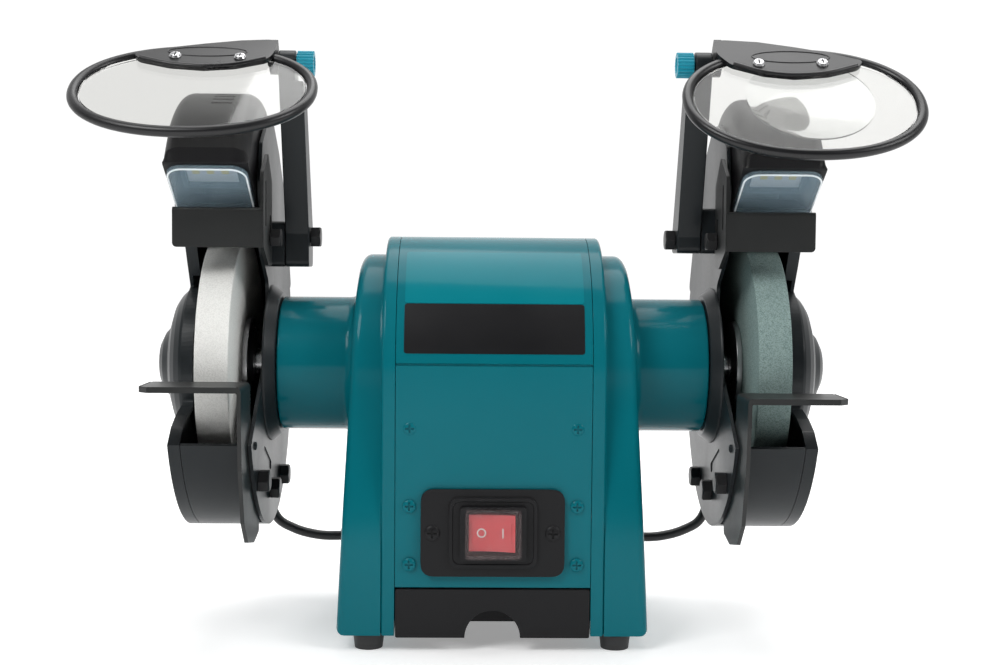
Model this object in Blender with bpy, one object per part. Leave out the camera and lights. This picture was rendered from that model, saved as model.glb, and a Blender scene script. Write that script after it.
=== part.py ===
"""Bench grinder with two wheels, lamps, eye shields, tool rests and a quench tray.

Lengths are in millimetres and become metres when a piece is made. X runs along the spindle,
-Y is the operator's side and Z is up. The shaft plane is y = 0 in these numbers; PLACE_X, PLACE_Y
and PLACE_Z then move everything, so that the origin is the middle of the outer box on the floor.
Side -1 is the operator's left and side 1 is the right.
"""

from math import atan2, cos, hypot, pi, radians, sin

import bmesh
import bpy
from mathutils import Vector

# Spindle and wheels
SHAFT_Z = 155.0
WHEEL_RADIUS = 75.0
WHEEL_INNER_X = 148.0
WHEEL_WIDTH = 19.0
WHEEL_OUTER_X = WHEEL_INNER_X + WHEEL_WIDTH
WHEEL_BORE = 6.35
SHAFT_END_RADIUS = 6.0
SHAFT_END_X = 186.0
FLANGE_RADIUS = 27.0
BEARING_OUTER = 17.5
BEARING_BORE = 7.5
ROTOR_RADIUS = 30.4

# Motor body
BASE_Z = 7.0
FLOOR_Z = -2.0
SEAM_X = 55.0
HOOD_X = 62.8
HOOD_RADIUS = 76.7
FRONT_Y = 75.0
SHOULDER_RADIUS = 66.0
SIDE_TABLE = ((7.0, 88.0), (155.0, 81.0), (195.0, 79.5), (212.0, 78.5), (222.0, 77.0))
CASTING_WALL = 3.0
COVER_SHEET = 1.8
TUBE_RADIUS = 40.0
TUBE_END_X = 126.0
TRAY_TOP_Z = 33.5
FOOT_X = 70.0
FOOT_Y = 64.0
FOOT_RADIUS = 8.8

# Guards
GUARD_X = 133.0
GUARD_RIM_X = 172.0
GUARD_RADIUS = 97.0
GUARD_SHEET = 2.0
GUARD_LOW_ANGLE = -24.0
GUARD_TOP_ANGLE = 62.0
COVER_X = 172.3
COVER_FACE_X = 179.0
DOME_X = 200.0
RING_RADIUS = 49.5

# Lamps, deflectors and tool rests
LAMP_X0 = 136.0
LAMP_X1 = 183.0
LAMP_EDGE = 9.0
LENS_FOOT = (-46.0, 249.4)
LENS_TOP = (-80.0, 269.2)
DEFLECTOR_X0 = 129.6
DEFLECTOR_X1 = 180.5
DEFLECTOR_TOP_Z = 246.5
DEFLECTOR_LOW_Z = 224.0
DEFLECTOR_BOLT = (-36.0, 230.0)
REST_BOLT = (-60.0, 92.0)
REST_X1 = 190.2
REST_FRONT_Y = -112.0
REST_BACK_Y = -77.0
REST_Z = {-1: 149.5, 1: 145.2}
REST_SHEET = 2.2
REST_SHELF = 3.2
REST_OUT = 12.3
REST_IN = 1.8
DEFLECTOR_TRAVEL = 10.0
LEAD_RADIUS = 3.0
LEAD_ROUTE = (
    (152, 88.8, 205.4),
    (152, 93.5, 192),
    (152, 99.5, 172),
    (152, 101.4, 147),
    (151, 96.0, 120),
    (149, 84.0, 96),
    (146, 71.5, 70),
)
LEAD_FOOT = (
    (139, 63.5, 50.5),
    (127, 62.0, 42.5),
    (112, 61.5, 38.5),
    (98, 61.0, 38),
    (83, 60.0, 39.5),
)

# Shield arms and shields
ARM_X0 = 110.0
ARM_X1 = 124.0
ARM_BOLT = (0.0, 231.0)
ARM_DROP = {-1: 18.0, 1: 8.0}
ARM_SEAT = 27.0
PIVOT = {-1: (-40.0, 329.5), 1: (-40.0, 331.0)}
SHIELD_X = {-1: 165.1, 1: 169.1}
SHIELD_TILT = {-1: 34.5, 1: 42.4}
SHIELD_LEVEL = {-1: 8.6, 1: 10.4}
SHIELD_MIDDLE = 48.5
SHIELD_HALF = (64.4, 45.5)
BEAD = 3.0
MAGNIFIER_V = 44.0

# Switch
ROCKER_TURN = 16.0

# Edges flatter than this are shaded smooth, in degrees
CREASE = 32.0

# The side shapes below are drawn about a shaft this high, in a guard of this radius
DRAWN_SHAFT_Z = 155.0
DRAWN_GUARD_RADIUS = 97.0

# Clearances between neighbouring pieces
FIT = 0.3
PANE_FIT = 0.35

# Where the shaft plane sits in the finished frame
PLACE_X = -2.0
PLACE_Y = 14.02
PLACE_Z = 2.0


def clear_scene():
    for obj in list(bpy.data.objects):
        bpy.data.objects.remove(obj)


def paint(name, colour, roughness, metallic=0.0, transmission=0.0):
    made = bpy.data.materials.new(name)
    made.use_nodes = True
    shader = made.node_tree.nodes["Principled BSDF"]
    shader.inputs["Base Color"].default_value = (*colour, 1.0)
    shader.inputs["Roughness"].default_value = roughness
    shader.inputs["Metallic"].default_value = metallic
    shader.inputs["Transmission Weight"].default_value = transmission
    return made


def loft(rings, ring_shaped=False):
    """Points and faces of a skin over rings of equal length, capped unless the last meets the first."""
    count = len(rings[0])
    points = [point for ring in rings for point in ring]
    faces = []
    total = len(rings)
    for i in range(total if ring_shaped else total - 1):
        low = i * count
        high = (i + 1) % total * count
        for j in range(count):
            k = (j + 1) % count
            faces.append((low + j, low + k, high + k, high + j))
    if not ring_shaped:
        faces.append(tuple(range(count)))
        faces.append(tuple(range((total - 1) * count, total * count)))
    return points, faces


def along(axis, a, b, height):
    """The point at a, b in the plane across the axis, in the order of the other two axes."""
    if axis == "X":
        return (height, a, b)
    if axis == "Y":
        return (a, height, b)
    return (a, b, height)


def prism(axis, outline, low, high):
    return loft([[along(axis, a, b, level) for a, b in outline] for level in (low, high)])


def circle(a, b, radius, count=24, start=0.0):
    angles = [start + 2 * pi * i / count for i in range(count)]
    return [(a + radius * cos(t), b + radius * sin(t)) for t in angles]


def arc(a, b, radius, first, last, count):
    angles = [radians(first + (last - first) * i / (count - 1)) for i in range(count)]
    return [(a + radius * cos(t), b + radius * sin(t)) for t in angles]


def rounded_box(a0, a1, b0, b1, radius, count=5):
    outline = arc(a1 - radius, b0 + radius, radius, -90, 0, count)
    outline += arc(a1 - radius, b1 - radius, radius, 0, 90, count)
    outline += arc(a0 + radius, b1 - radius, radius, 90, 180, count)
    return outline + arc(a0 + radius, b0 + radius, radius, 180, 270, count)


def box(x0, x1, y0, y1, z0, z1):
    return prism("X", [(y0, z0), (y1, z0), (y1, z1), (y0, z1)], x0, x1)


def lathe(axis, profile, a=0.0, b=SHAFT_Z, count=24, ring_shaped=False):
    """Turns (level, radius) pairs about the axis line through a, b."""
    rings = [
        [along(axis, *point, level) for point in circle(a, b, radius, count)]
        for level, radius in profile
    ]
    return loft(rings, ring_shaped)


def rod(axis, low, high, radius, a=0.0, b=SHAFT_Z, count=16):
    return lathe(axis, [(low, radius), (high, radius)], a, b, count)


def washer(axis, low, high, outer, bore, a=0.0, b=SHAFT_Z, count=24):
    profile = [(low, bore), (low, outer), (high, outer), (high, bore)]
    return lathe(axis, profile, a, b, count, ring_shaped=True)


def smooth_path(points, steps=5):
    """Points of a Catmull-Rom curve through the given points."""
    ends = [points[0], *points, points[-1]]
    path = []
    for i in range(1, len(ends) - 2):
        p0, p1, p2, p3 = (Vector(ends[i + k]) for k in (-1, 0, 1, 2))
        for step in range(steps):
            t = step / steps
            low = p1 * 2 + (p2 - p0) * t
            high = (p0 * 2 - p1 * 5 + p2 * 4 - p3) * t * t
            path.append((low + high + (p1 * 3 - p0 - p2 * 3 + p3) * t**3) / 2)
    path.append(Vector(points[-1]))
    return path


def hose(path, radius, count=8, ring_shaped=False):
    """A round bar along the path."""
    rings = []
    total = len(path)
    across = Vector((0.31, 0.22, 0.92)).normalized()
    for i, point in enumerate(path):
        if ring_shaped:
            heading = path[(i + 1) % total] - path[i - 1]
        else:
            heading = path[min(i + 1, total - 1)] - path[max(i - 1, 0)]
        heading.normalize()
        across = (across - heading * across.dot(heading)).normalized()
        other = heading.cross(across)
        spin = [2 * pi * k / count for k in range(count)]
        rings.append([tuple(point + (across * cos(t) + other * sin(t)) * radius) for t in spin])
    return loft(rings, ring_shaped)


def placed(point, side):
    """A design point in metres in the finished frame, mirrored for side -1."""
    x, y, z = point
    return Vector((x * side + PLACE_X, y + PLACE_Y, z + PLACE_Z)) / 1000


def lifted(points):
    """Side points moved up or down with the shaft."""
    return [(y, z + SHAFT_Z - DRAWN_SHAFT_Z) for y, z in points]


def with_guard(points):
    """Side points moved with the shaft, and out or in with the guard's rim."""
    moved = []
    for y, z in points:
        share = 1 + (GUARD_RADIUS - DRAWN_GUARD_RADIUS) / hypot(y, z - DRAWN_SHAFT_Z)
        moved.append((y * share, SHAFT_Z + (z - DRAWN_SHAFT_Z) * share))
    return moved


def moved_as(anchor, points):
    """Side points moved in one, as the anchor point moves with the guard's rim."""
    y, z = with_guard([anchor])[0]
    return [(a + y - anchor[0], b + z - anchor[1]) for a, b in points]


def solid(name, shape, material=None, side=1, origin=(0.0, 0.0, 0.0)):
    """One closed mesh object. Side -1 mirrors it, and origin is its joint point before that."""
    points, faces = shape
    shift = placed(origin, side)
    mesh = bpy.data.meshes.new(name)
    mesh.from_pydata([placed(point, side) - shift for point in points], [], faces)
    skin = bmesh.new()
    skin.from_mesh(mesh)
    bmesh.ops.remove_doubles(skin, verts=skin.verts, dist=1e-7)
    bmesh.ops.recalc_face_normals(skin, faces=skin.faces)
    skin.to_mesh(mesh)
    skin.free()
    mesh.shade_smooth()
    mesh.set_sharp_from_angle(angle=radians(CREASE))
    obj = bpy.data.objects.new(name, mesh)
    obj.location = shift
    bpy.context.scene.collection.objects.link(obj)
    if material:
        mesh.materials.append(material)
    return obj


def tool(name, shape, side=1):
    """A cutter or an addition, which is not itself a piece."""
    obj = solid(name, shape, None, side)
    obj.hide_render = True
    obj.display_type = "WIRE"
    return obj


def cable(name, path, radius, material, side=1):
    """A round cable with filled ends, as a curve through the path's points."""
    curve = bpy.data.curves.new(name, "CURVE")
    curve.dimensions = "3D"
    curve.bevel_depth = radius / 1000
    curve.bevel_resolution = 2
    curve.use_fill_caps = True
    line = curve.splines.new("POLY")
    line.points.add(len(path) - 1)
    for point, place in zip(line.points, path):
        point.co = (*placed(place, side), 1.0)
    curve.materials.append(material)
    obj = bpy.data.objects.new(name, curve)
    bpy.context.scene.collection.objects.link(obj)
    return obj


def work(obj, operation, shapes, side=1):
    for number, shape in enumerate(shapes):
        other = tool(f"{obj.name}_{operation.lower()}_{number}", shape, side)
        modifier = obj.modifiers.new(f"{operation}_{number}", "BOOLEAN")
        modifier.operation = operation
        modifier.solver = "EXACT"
        modifier.object = other


def cut(obj, *shapes, side=1):
    work(obj, "DIFFERENCE", shapes, side)


def add(obj, *shapes, side=1):
    work(obj, "UNION", shapes, side)


clear_scene()

TEAL = paint("teal_paint", (0.0, 0.147, 0.171), 0.3)
BLACK = paint("black_paint", (0.028, 0.031, 0.034), 0.35)
STEEL = paint("bright_steel", (0.55, 0.55, 0.56), 0.3, 1.0)
IRON = paint("laminated_steel", (0.25, 0.25, 0.26), 0.5, 1.0)
COPPER = paint("varnished_copper", (0.45, 0.16, 0.06), 0.4, 1.0)
ALUMINIUM = paint("aluminium_can", (0.7, 0.7, 0.72), 0.35, 1.0)
BLACK_PLASTIC = paint("black_plastic", (0.02, 0.02, 0.021), 0.45)
TEAL_PLASTIC = paint("teal_plastic", (0.003, 0.25, 0.35), 0.4)
RED_PLASTIC = paint("red_plastic", (0.65, 0.04, 0.05), 0.3)
RUBBER = paint("black_rubber", (0.02, 0.02, 0.02), 0.8)
WHITE_STONE = paint("white_abrasive", (0.82, 0.82, 0.8), 0.9)
GREY_STONE = paint("grey_abrasive", (0.2, 0.3, 0.28), 0.9)
CLEAR = paint("clear_plastic", (0.9, 0.92, 0.92), 0.05, 0.0, 1.0)


# Motor body: two end castings with bearing tubes, and one sheet that wraps the middle


def side_x(z):
    """How far out the casting's side face stands at a height."""
    for (z0, x0), (z1, x1) in zip(SIDE_TABLE, SIDE_TABLE[1:]):
        if z <= z1:
            return x0 + (x1 - x0) * max(z - z0, 0.0) / (z1 - z0)
    return SIDE_TABLE[-1][1]


def half_depth(z, raised):
    """Front to middle of the body below the shaft, for the raised band or the shoulder."""
    drop = min((SHAFT_Z - z) / 110, 1.0)
    start = HOOD_RADIUS if raised else SHOULDER_RADIUS
    return start + (FRONT_Y - start) * drop * drop * (3 - 2 * drop)


def body_outline(raised, inset):
    """The body's (y, z) outline, set in by a wall."""
    radius = (HOOD_RADIUS if raised else SHOULDER_RADIUS) - inset
    outline = arc(0, SHAFT_Z, radius, 0, 180, 19)
    low = BASE_Z + inset
    falls = (0.08, 0.17, 0.26, 0.36, 0.48, 0.64, 0.82, 1.0)
    levels = [SHAFT_Z + (low - SHAFT_Z) * fall for fall in falls]
    outline += [(-half_depth(z, raised) + inset, z) for z in levels]
    outline += [(y, low) for y in (-48.0, -24.0, 0.0, 24.0, 48.0)]
    return outline + [(half_depth(z, raised) - inset, z) for z in reversed(levels)]


def casting_ring(raised, inset, x=None, from_side=0.0):
    outline = body_outline(raised, inset)
    return [(side_x(z) + from_side if x is None else x, y, z) for y, z in outline]


def tube_ring(x, radius):
    angles = [atan2(z - SHAFT_Z, y) for y, z in body_outline(False, 0)]
    return [(x, radius * cos(t), SHAFT_Z + radius * sin(t)) for t in angles]


def make_casting(name, side):
    wall = CASTING_WALL
    inner = SEAM_X + FIT / 2
    rings = [
        casting_ring(True, 0, inner),
        casting_ring(True, 0, HOOD_X - 1.5),
        casting_ring(True, 1.2, HOOD_X),
        casting_ring(False, 0, HOOD_X + 2.0),
        casting_ring(False, 0, None, -4.0),
        casting_ring(False, 1.2, None, -1.2),
        casting_ring(False, 4.0, None, 0.0),
        tube_ring(83.0, 47.0),
        tube_ring(84.5, 42.0),
        tube_ring(88.0, TUBE_RADIUS),
        tube_ring(TUBE_END_X, TUBE_RADIUS),
        tube_ring(TUBE_END_X, 12.0),
        tube_ring(124.0, 12.0),
        tube_ring(124.0, BEARING_OUTER + FIT),
        tube_ring(112.0, BEARING_OUTER + FIT),
        tube_ring(112.0, TUBE_RADIUS - 4),
        tube_ring(84.5, TUBE_RADIUS - 4),
        casting_ring(False, 7.0, None, -3.6),
        casting_ring(False, wall, None, -7.5),
        casting_ring(False, wall, HOOD_X - 2.4),
        casting_ring(True, wall, HOOD_X - 3.0),
        casting_ring(True, wall, inner),
    ]
    casting = solid(name, loft(rings, ring_shaped=True), TEAL, side)
    cut(casting, rod("X", 70.0, 95.0, 3.6, 60.0, 39.5, 12), side=side)


def make_body():
    make_casting("left_motor_casting", -1)
    make_casting("right_motor_casting", 1)
    low = TRAY_TOP_Z + 1.0
    front = [(-half_depth(z, True), z) for z in (120.0, 80.0, low)]
    back = [(half_depth(z, True), z) for z in (BASE_Z + 3.0, 80.0, 120.0)]
    outer = arc(0, SHAFT_Z, HOOD_RADIUS, 0, 180, 25) + front
    inner = arc(0, SHAFT_Z, HOOD_RADIUS - COVER_SHEET, 180, 0, 25)
    inset_front = [(y + COVER_SHEET, z) for y, z in reversed(front)]
    inset_back = [(y - COVER_SHEET, z) for y, z in reversed(back)]
    outline = outer + inset_front + inner + inset_back + back
    edge = SEAM_X - FIT / 2
    cover = solid("wrap_cover", prism("X", outline, -edge, edge), TEAL)
    cut(cover, prism("Y", rounded_box(-20, 20, 48, 84, 2, 2), -80, -70))
    cut(cover, rod("Y", 70, 80, 7.0, 30.0, 48.0, 16))
    solid("base_plate", box(1 - SEAM_X, SEAM_X - 1, -40, 71, BASE_Z, BASE_Z + 2), BLACK)
    for side, tag in ((-1, "left"), (1, "right")):
        for front, place in ((-1, "front"), (1, "back")):
            profile = [(FLOOR_Z, 7.4), (FLOOR_Z + 1, 8.0), (BASE_Z - 1.5, FOOT_RADIUS)]
            profile.append((BASE_Z - FIT, FOOT_RADIUS))
            foot = lathe("Z", profile, FOOT_X, front * FOOT_Y, 16)
            solid(f"{place}_{tag}_foot", foot, RUBBER, side)
    profile = [(75.3, 6.6), (75.3, 11.0), (79.0, 11.0), (81.0, 8.5), (92.0, 6.5), (92.0, 3.4)]
    profile += [(70.0, 3.4), (70.0, 6.6)]
    solid("cord_gland", lathe("Y", profile, 30.0, 48.0, 16, ring_shaped=True), BLACK_PLASTIC)


# Motor internals


def make_motor():
    solid("stator_core", washer("X", -27, 27, 60.0, 31.0, count=32), IRON)
    for side, tag in ((-1, "left"), (1, "right")):
        profile = [(27.4, 36), (27.4, 55), (38, 57), (45, 52), (46, 42), (42, 35)]
        shape = lathe("X", profile, 0, SHAFT_Z, 24, ring_shaped=True)
        solid(f"{tag}_winding", shape, COPPER, side)
        shape = washer("X", 112.5, 123.5, BEARING_OUTER, BEARING_BORE, count=20)
        solid(f"{tag}_bearing", shape, STEEL, side)
    profile = [(-34, 13.5), (-32, 16), (32, 16), (34, 13.5)]
    solid("run_capacitor", lathe("X", profile, 30.0, 64.0, 20), ALUMINIUM)


# Spindle: shaft, rotor, wheels, flanges and nuts, all turning together


def make_spindle():
    half = [(108.0, 12.0), (108.0, 7.2), (128.0, 7.2), (128.0, 8.6), (142.2, 8.6)]
    half += [(142.2, SHAFT_END_RADIUS), (SHAFT_END_X - 1, SHAFT_END_RADIUS), (SHAFT_END_X, 5.0)]
    profile = [(-x, r) for x, r in reversed(half)] + half
    middle = (0.0, 0.0, SHAFT_Z)
    solid("spindle_shaft", lathe("X", profile, count=20), STEEL, 1, middle)
    core = washer("X", -27, 27, ROTOR_RADIUS, 12.3, count=28)
    solid("rotor_core", core, IRON, 1, middle)
    for side, tag, stone in ((-1, "left", WHITE_STONE), (1, "right", GREY_STONE)):
        x0 = WHEEL_INNER_X
        x1 = WHEEL_OUTER_X
        rim = WHEEL_RADIUS
        profile = [(x0, WHEEL_BORE), (x0, rim - 1), (x0 + 1, rim), (x1 - 1, rim)]
        profile += [(x1, rim - 1), (x1, WHEEL_BORE)]
        wheel = lathe("X", profile, count=48, ring_shaped=True)
        solid(f"{tag}_wheel", wheel, stone, side, middle)
        bore = SHAFT_END_RADIUS + FIT
        profile = [(142.5, bore), (142.5, 16), (144.5, 24), (144.5, FLANGE_RADIUS)]
        profile += [(x0 - FIT, FLANGE_RADIUS), (x0 - FIT, 22), (x0 - 1.4, 20), (x0 - 1.4, bore)]
        inner = lathe("X", profile, count=28, ring_shaped=True)
        solid(f"{tag}_inner_flange", inner, STEEL, side, middle)
        profile = [(x1 + 1.4, bore), (x1 + 1.4, 20), (x1 + FIT, 22), (x1 + FIT, FLANGE_RADIUS)]
        profile += [(x1 + 3.2, FLANGE_RADIUS), (x1 + 3.2, 24), (x1 + 5.2, 16), (x1 + 5.2, bore)]
        outer = lathe("X", profile, count=28, ring_shaped=True)
        solid(f"{tag}_outer_flange", outer, STEEL, side, middle)
        nut = solid(f"{tag}_wheel_nut", rod("X", x1 + 5.5, x1 + 15.5, 10.8, count=6), STEEL, side, middle)
        cut(nut, rod("X", x1 + 4, x1 + 17, bore), side=side)


# Wheel guards, their covers and the bolts that hold the adjustable pieces


def guard_outline(radius, front):
    """Round the bottom, the back and the top, and then down the given front edge."""
    low = 180 - GUARD_LOW_ANGLE
    high = 360 + 180 - GUARD_TOP_ANGLE
    return arc(0, SHAFT_Z, radius, low, high, 33) + front


def make_guard(tag, side):
    sheet = GUARD_SHEET
    edge = with_guard([(-46, 221), (-18, 204), (-18, 172), (-40, 150), (-64, 134)])
    plate = prism("X", guard_outline(GUARD_RADIUS, edge), GUARD_X, GUARD_RIM_X)
    guard = solid(f"{tag}_guard", plate, BLACK, side)
    beyond = with_guard([(-70, 300), (-160, 240), (-160, 90), (-110, 102)])
    outline = guard_outline(GUARD_RADIUS - sheet, beyond)
    room = prism("X", outline, GUARD_X + sheet, GUARD_RIM_X + 5)
    notch = [(-130, 124), (-130, 100), (-108, 76), (-80, 56), (-30, 56), (-30, 110), (-78, 120)]
    notch_x = GUARD_X + sheet + REST_SHEET + 3 * FIT
    cut(guard, room, prism("X", lifted(notch), GUARD_X + sheet, notch_x), side=side)
    shoulder = [(-46, 228), (-52, 262), (-44, 284), (-20, 298), (4, 299), (30, 283), (52, 264)]
    shoulder += [(76, 230), (92, 200), (80, 195), (30, 235)]
    upper = prism("X", with_guard(shoulder), GUARD_X, GUARD_X + sheet)
    boss = lathe("X", [(TUBE_END_X + FIT, 42.5), (GUARD_X + 0.5, 48.0)], count=32)
    low = ARM_BOLT[1] - ARM_DROP[side]
    seat = rounded_box(-12, 14, low, low + ARM_SEAT, 3, 3)
    block = prism("X", moved_as(ARM_BOLT, seat), ARM_X1 + 0.5, GUARD_X + 0.5)
    add(guard, boss, block, upper, side=side)
    bore = rod("X", 120, 140, 11.0, count=20)
    bolt_hole = rod("X", 110, 131, 3.3, *with_guard([ARM_BOLT])[0], 12)
    rest_hole = rod("X", 128, 140, 3.3, *lifted([REST_BOLT])[0], 12)
    deflector_hole = rod("X", 128, 140, 2.8, *with_guard([DEFLECTOR_BOLT])[0], 12)
    cut(guard, bore, bolt_hole, rest_hole, deflector_hole, side=side)


def make_guard_cover(tag, side):
    ring = arc(0, SHAFT_Z, RING_RADIUS, 117, 203, 9)
    edge = with_guard([(-45.5, 240)]) + lifted([(-28, 214), (-22.5, 203)]) + ring
    edge += lifted([(-49, 133), (-64, 129.5), (-78, 124)])
    rim = guard_outline(GUARD_RADIUS, edge)
    cover = solid(f"{tag}_guard_cover", prism("X", rim, COVER_X, COVER_FACE_X), BLACK, side)
    face = COVER_FACE_X
    bulge = [(face - 1, 46), (face, 45.5), (face + 2.5, 44.4), (face + 6, 41), (face + 9, 36.6)]
    bulge += [(face + 12, 27.5), (face + 13, 22.6), (face + 17, 18.3), (face + 20, 12.3), (DOME_X, 5)]
    add(cover, lathe("X", bulge, count=32), side=side)
    hollow = [(COVER_X - 2, 44), (face - 1, 43.5), (face + 1, 42.4), (face + 4, 39), (face + 7, 34.4)]
    hollow += [(face + 10, 25.6), (face + 11, 20.5), (face + 15, 16.3), (face + 18, 10.3)]
    hollow.append((DOME_X - 1.7, 4))
    inner_ring = arc(0, SHAFT_Z, RING_RADIUS - 2.4, 119, 200, 9)
    inner_edge = with_guard([(-42.4, 238)]) + lifted([(-25.6, 212.8), (-19.6, 201)]) + inner_ring
    inner_edge += lifted([(-48, 130.6), (-63, 127), (-77, 121.6)])
    low = 180 - GUARD_LOW_ANGLE + 1.6
    high = 540 - GUARD_TOP_ANGLE - 1.2
    pocket = arc(0, SHAFT_Z, GUARD_RADIUS - GUARD_SHEET, low, high, 33) + inner_edge
    cut(
        cover,
        prism("X", pocket, COVER_X - 2, face - GUARD_SHEET),
        lathe("X", hollow, count=32),
        side=side,
    )


def bolt(name, side, y, z, head, tip, radius, across, head_high):
    """A hex bolt along X: its head starts at head, and its shank ends at tip."""
    hexagon = rod("X", head, head + head_high, across, y, z, 6)
    made = solid(name, hexagon, BLACK, side, (head, y, z))
    add(made, rod("X", head + head_high - 1, tip, radius, y, z, 12), side=side)


def make_bolts(tag, side):
    place = lifted([REST_BOLT])[0]
    bolt(f"{tag}_rest_bolt", side, *place, GUARD_X - 6.6, GUARD_X + 6, 3.0, 6.6, 6.4)
    place = with_guard([DEFLECTOR_BOLT])[0]
    bolt(f"{tag}_deflector_bolt", side, *place, DEFLECTOR_X0 - 6.6, GUARD_X + 3, 2.5, 5.6, 6.2)
    place = with_guard([ARM_BOLT])[0]
    bolt(f"{tag}_arm_bolt", side, *place, ARM_X0 - 6.2, GUARD_X - 4, 3.0, 6.6, 5.8)


# Lamp on each guard: housing, board, lens, and the lead down to the base


def make_lamp(tag, side):
    under = arc(0, SHAFT_Z, GUARD_RADIUS + 0.4, 31, 117, 11)
    front = [(-45.0, 248.8), (-80.5, 269.5)]
    over = [(-80, 278.5), (-66, 294), (-45, 307), (-22, 313), (4, 308), (30, 292), (54, 266)]
    over.append((76, 232))
    tail = [(93, 208)]

    def section(x, drop):
        """The side outline, with its top drawn in towards the shaft to round the edge."""
        top = []
        for y, z in with_guard(over):
            share = 1 - drop / hypot(y, z - SHAFT_Z)
            top.append((y * share, SHAFT_Z + (z - SHAFT_Z) * share))
        return [(x, y, z) for y, z in under + with_guard(front) + top + with_guard(tail)]

    edge = LAMP_EDGE
    rings = [
        section(LAMP_X0, edge),
        section(LAMP_X0 + 0.3 * edge, 0.3 * edge),
        section(LAMP_X0 + edge, 0),
        section(LAMP_X1 - edge, 0),
        section(LAMP_X1 - 0.3 * edge, 0.3 * edge),
        section(LAMP_X1, edge),
    ]
    housing = solid(f"{tag}_lamp_housing", loft(rings), BLACK_PLASTIC, side)
    room = [(-58, 243), (-43.5, 250.2), (-10, 256), (26, 252), (34, 258), (24, 274), (2, 293)]
    room += [(-22, 299), (-44, 293), (-64, 280), (-73.5, 269.5), (-80, 262)]
    cut(housing, prism("X", with_guard(room), LAMP_X0 + 3, LAMP_X1 - 3), side=side)
    foot, end = (Vector(point) for point in with_guard([LENS_FOOT, LENS_TOP]))
    slant = end - foot
    out = Vector((-slant.y, slant.x)).normalized()
    corners = [foot + out * FIT, foot + out * 3, foot + slant + out * 3, foot + slant + out * FIT]
    lens = prism("X", [tuple(corner) for corner in corners], LAMP_X0 + 1, LAMP_X1 - 1)
    solid(f"{tag}_lamp_lens", lens, CLEAR, side)
    route = [(x, *with_guard([(y, z)])[0]) for x, y, z in LEAD_ROUTE]
    path = smooth_path([*route, *LEAD_FOOT], 4)
    cable(f"{tag}_lamp_lead", path, LEAD_RADIUS, RUBBER, side)


# Tool rests and spark deflectors: bent plates that slide under their bolts


def make_tool_rest(tag, side):
    top = REST_Z[side] + SHAFT_Z - DRAWN_SHAFT_Z
    x0 = GUARD_X + GUARD_SHEET + FIT
    y0, z0 = lifted([REST_BOLT])[0]
    flat = box(x0, REST_X1, REST_FRONT_Y, REST_BACK_Y, top - REST_SHELF, top)
    leg = [(-108, 104), (-98, 74), (-84, 61), (-62, 57), (-42, 60), (-40, 106)]
    leg += [(-66, 116), (REST_BACK_Y, 132)]
    leg = [(REST_FRONT_Y, top), *lifted(leg), (REST_BACK_Y, top)]
    rest = solid(f"{tag}_tool_rest", flat, BLACK, side, (x0, y0, z0))
    add(rest, prism("X", leg, x0, x0 + REST_SHEET), side=side)
    slot = rounded_box(y0 - REST_IN - 3.3, y0 + REST_OUT + 3.3, z0 - 3.3, z0 + 3.3, 3.2, 4)
    corner = [(REST_X1 + 1, REST_FRONT_Y - 1), (REST_X1 - 6, REST_FRONT_Y - 1)]
    corner += [(REST_X1 + 1, REST_FRONT_Y + 6)]
    trim = prism("Z", corner, top - 10, top + 10)
    cut(rest, prism("X", slot, x0 - 2, x0 + 4), trim, side=side)


def make_deflector(tag, side):
    sheet = GUARD_SHEET
    x0 = DEFLECTOR_X0
    low = DEFLECTOR_LOW_Z
    high = DEFLECTOR_TOP_Z
    y0, z0 = DEFLECTOR_BOLT
    angle = [(-66, low), (-66 + sheet, low), (-66 + sheet, high - sheet)]
    angle += [(-60, high - sheet), (-60, high), (-66, high)]
    face = prism("X", moved_as(DEFLECTOR_BOLT, angle), x0 + 0.6, DEFLECTOR_X1)
    pivot = (x0, *with_guard([DEFLECTOR_BOLT])[0])
    made = solid(f"{tag}_spark_deflector", face, BLACK, side, pivot)
    leg = [(-65.7, low + 0.3), (-44, 214), (-29, 214), (-29, 262), (-46, 278), (-65.7, 266)]
    add(made, prism("X", moved_as(DEFLECTOR_BOLT, leg), x0, x0 + sheet), side=side)
    slot = rounded_box(y0 - 2.8, y0 + 2.8, z0 - 3.1, z0 + DEFLECTOR_TRAVEL + 3.1, 2.7, 4)
    high_slot = rounded_box(-57.5, -53.5, 236, 262, 1.9, 4)
    slots = [moved_as(DEFLECTOR_BOLT, outline) for outline in (slot, high_slot)]
    cut(made, *[prism("X", outline, x0 - 2, x0 + 4) for outline in slots], side=side)


# Eye shields: arm, frame, pane and knob


def pivot_of(side):
    return moved_as(ARM_BOLT, [PIVOT[side]])[0]


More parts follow.
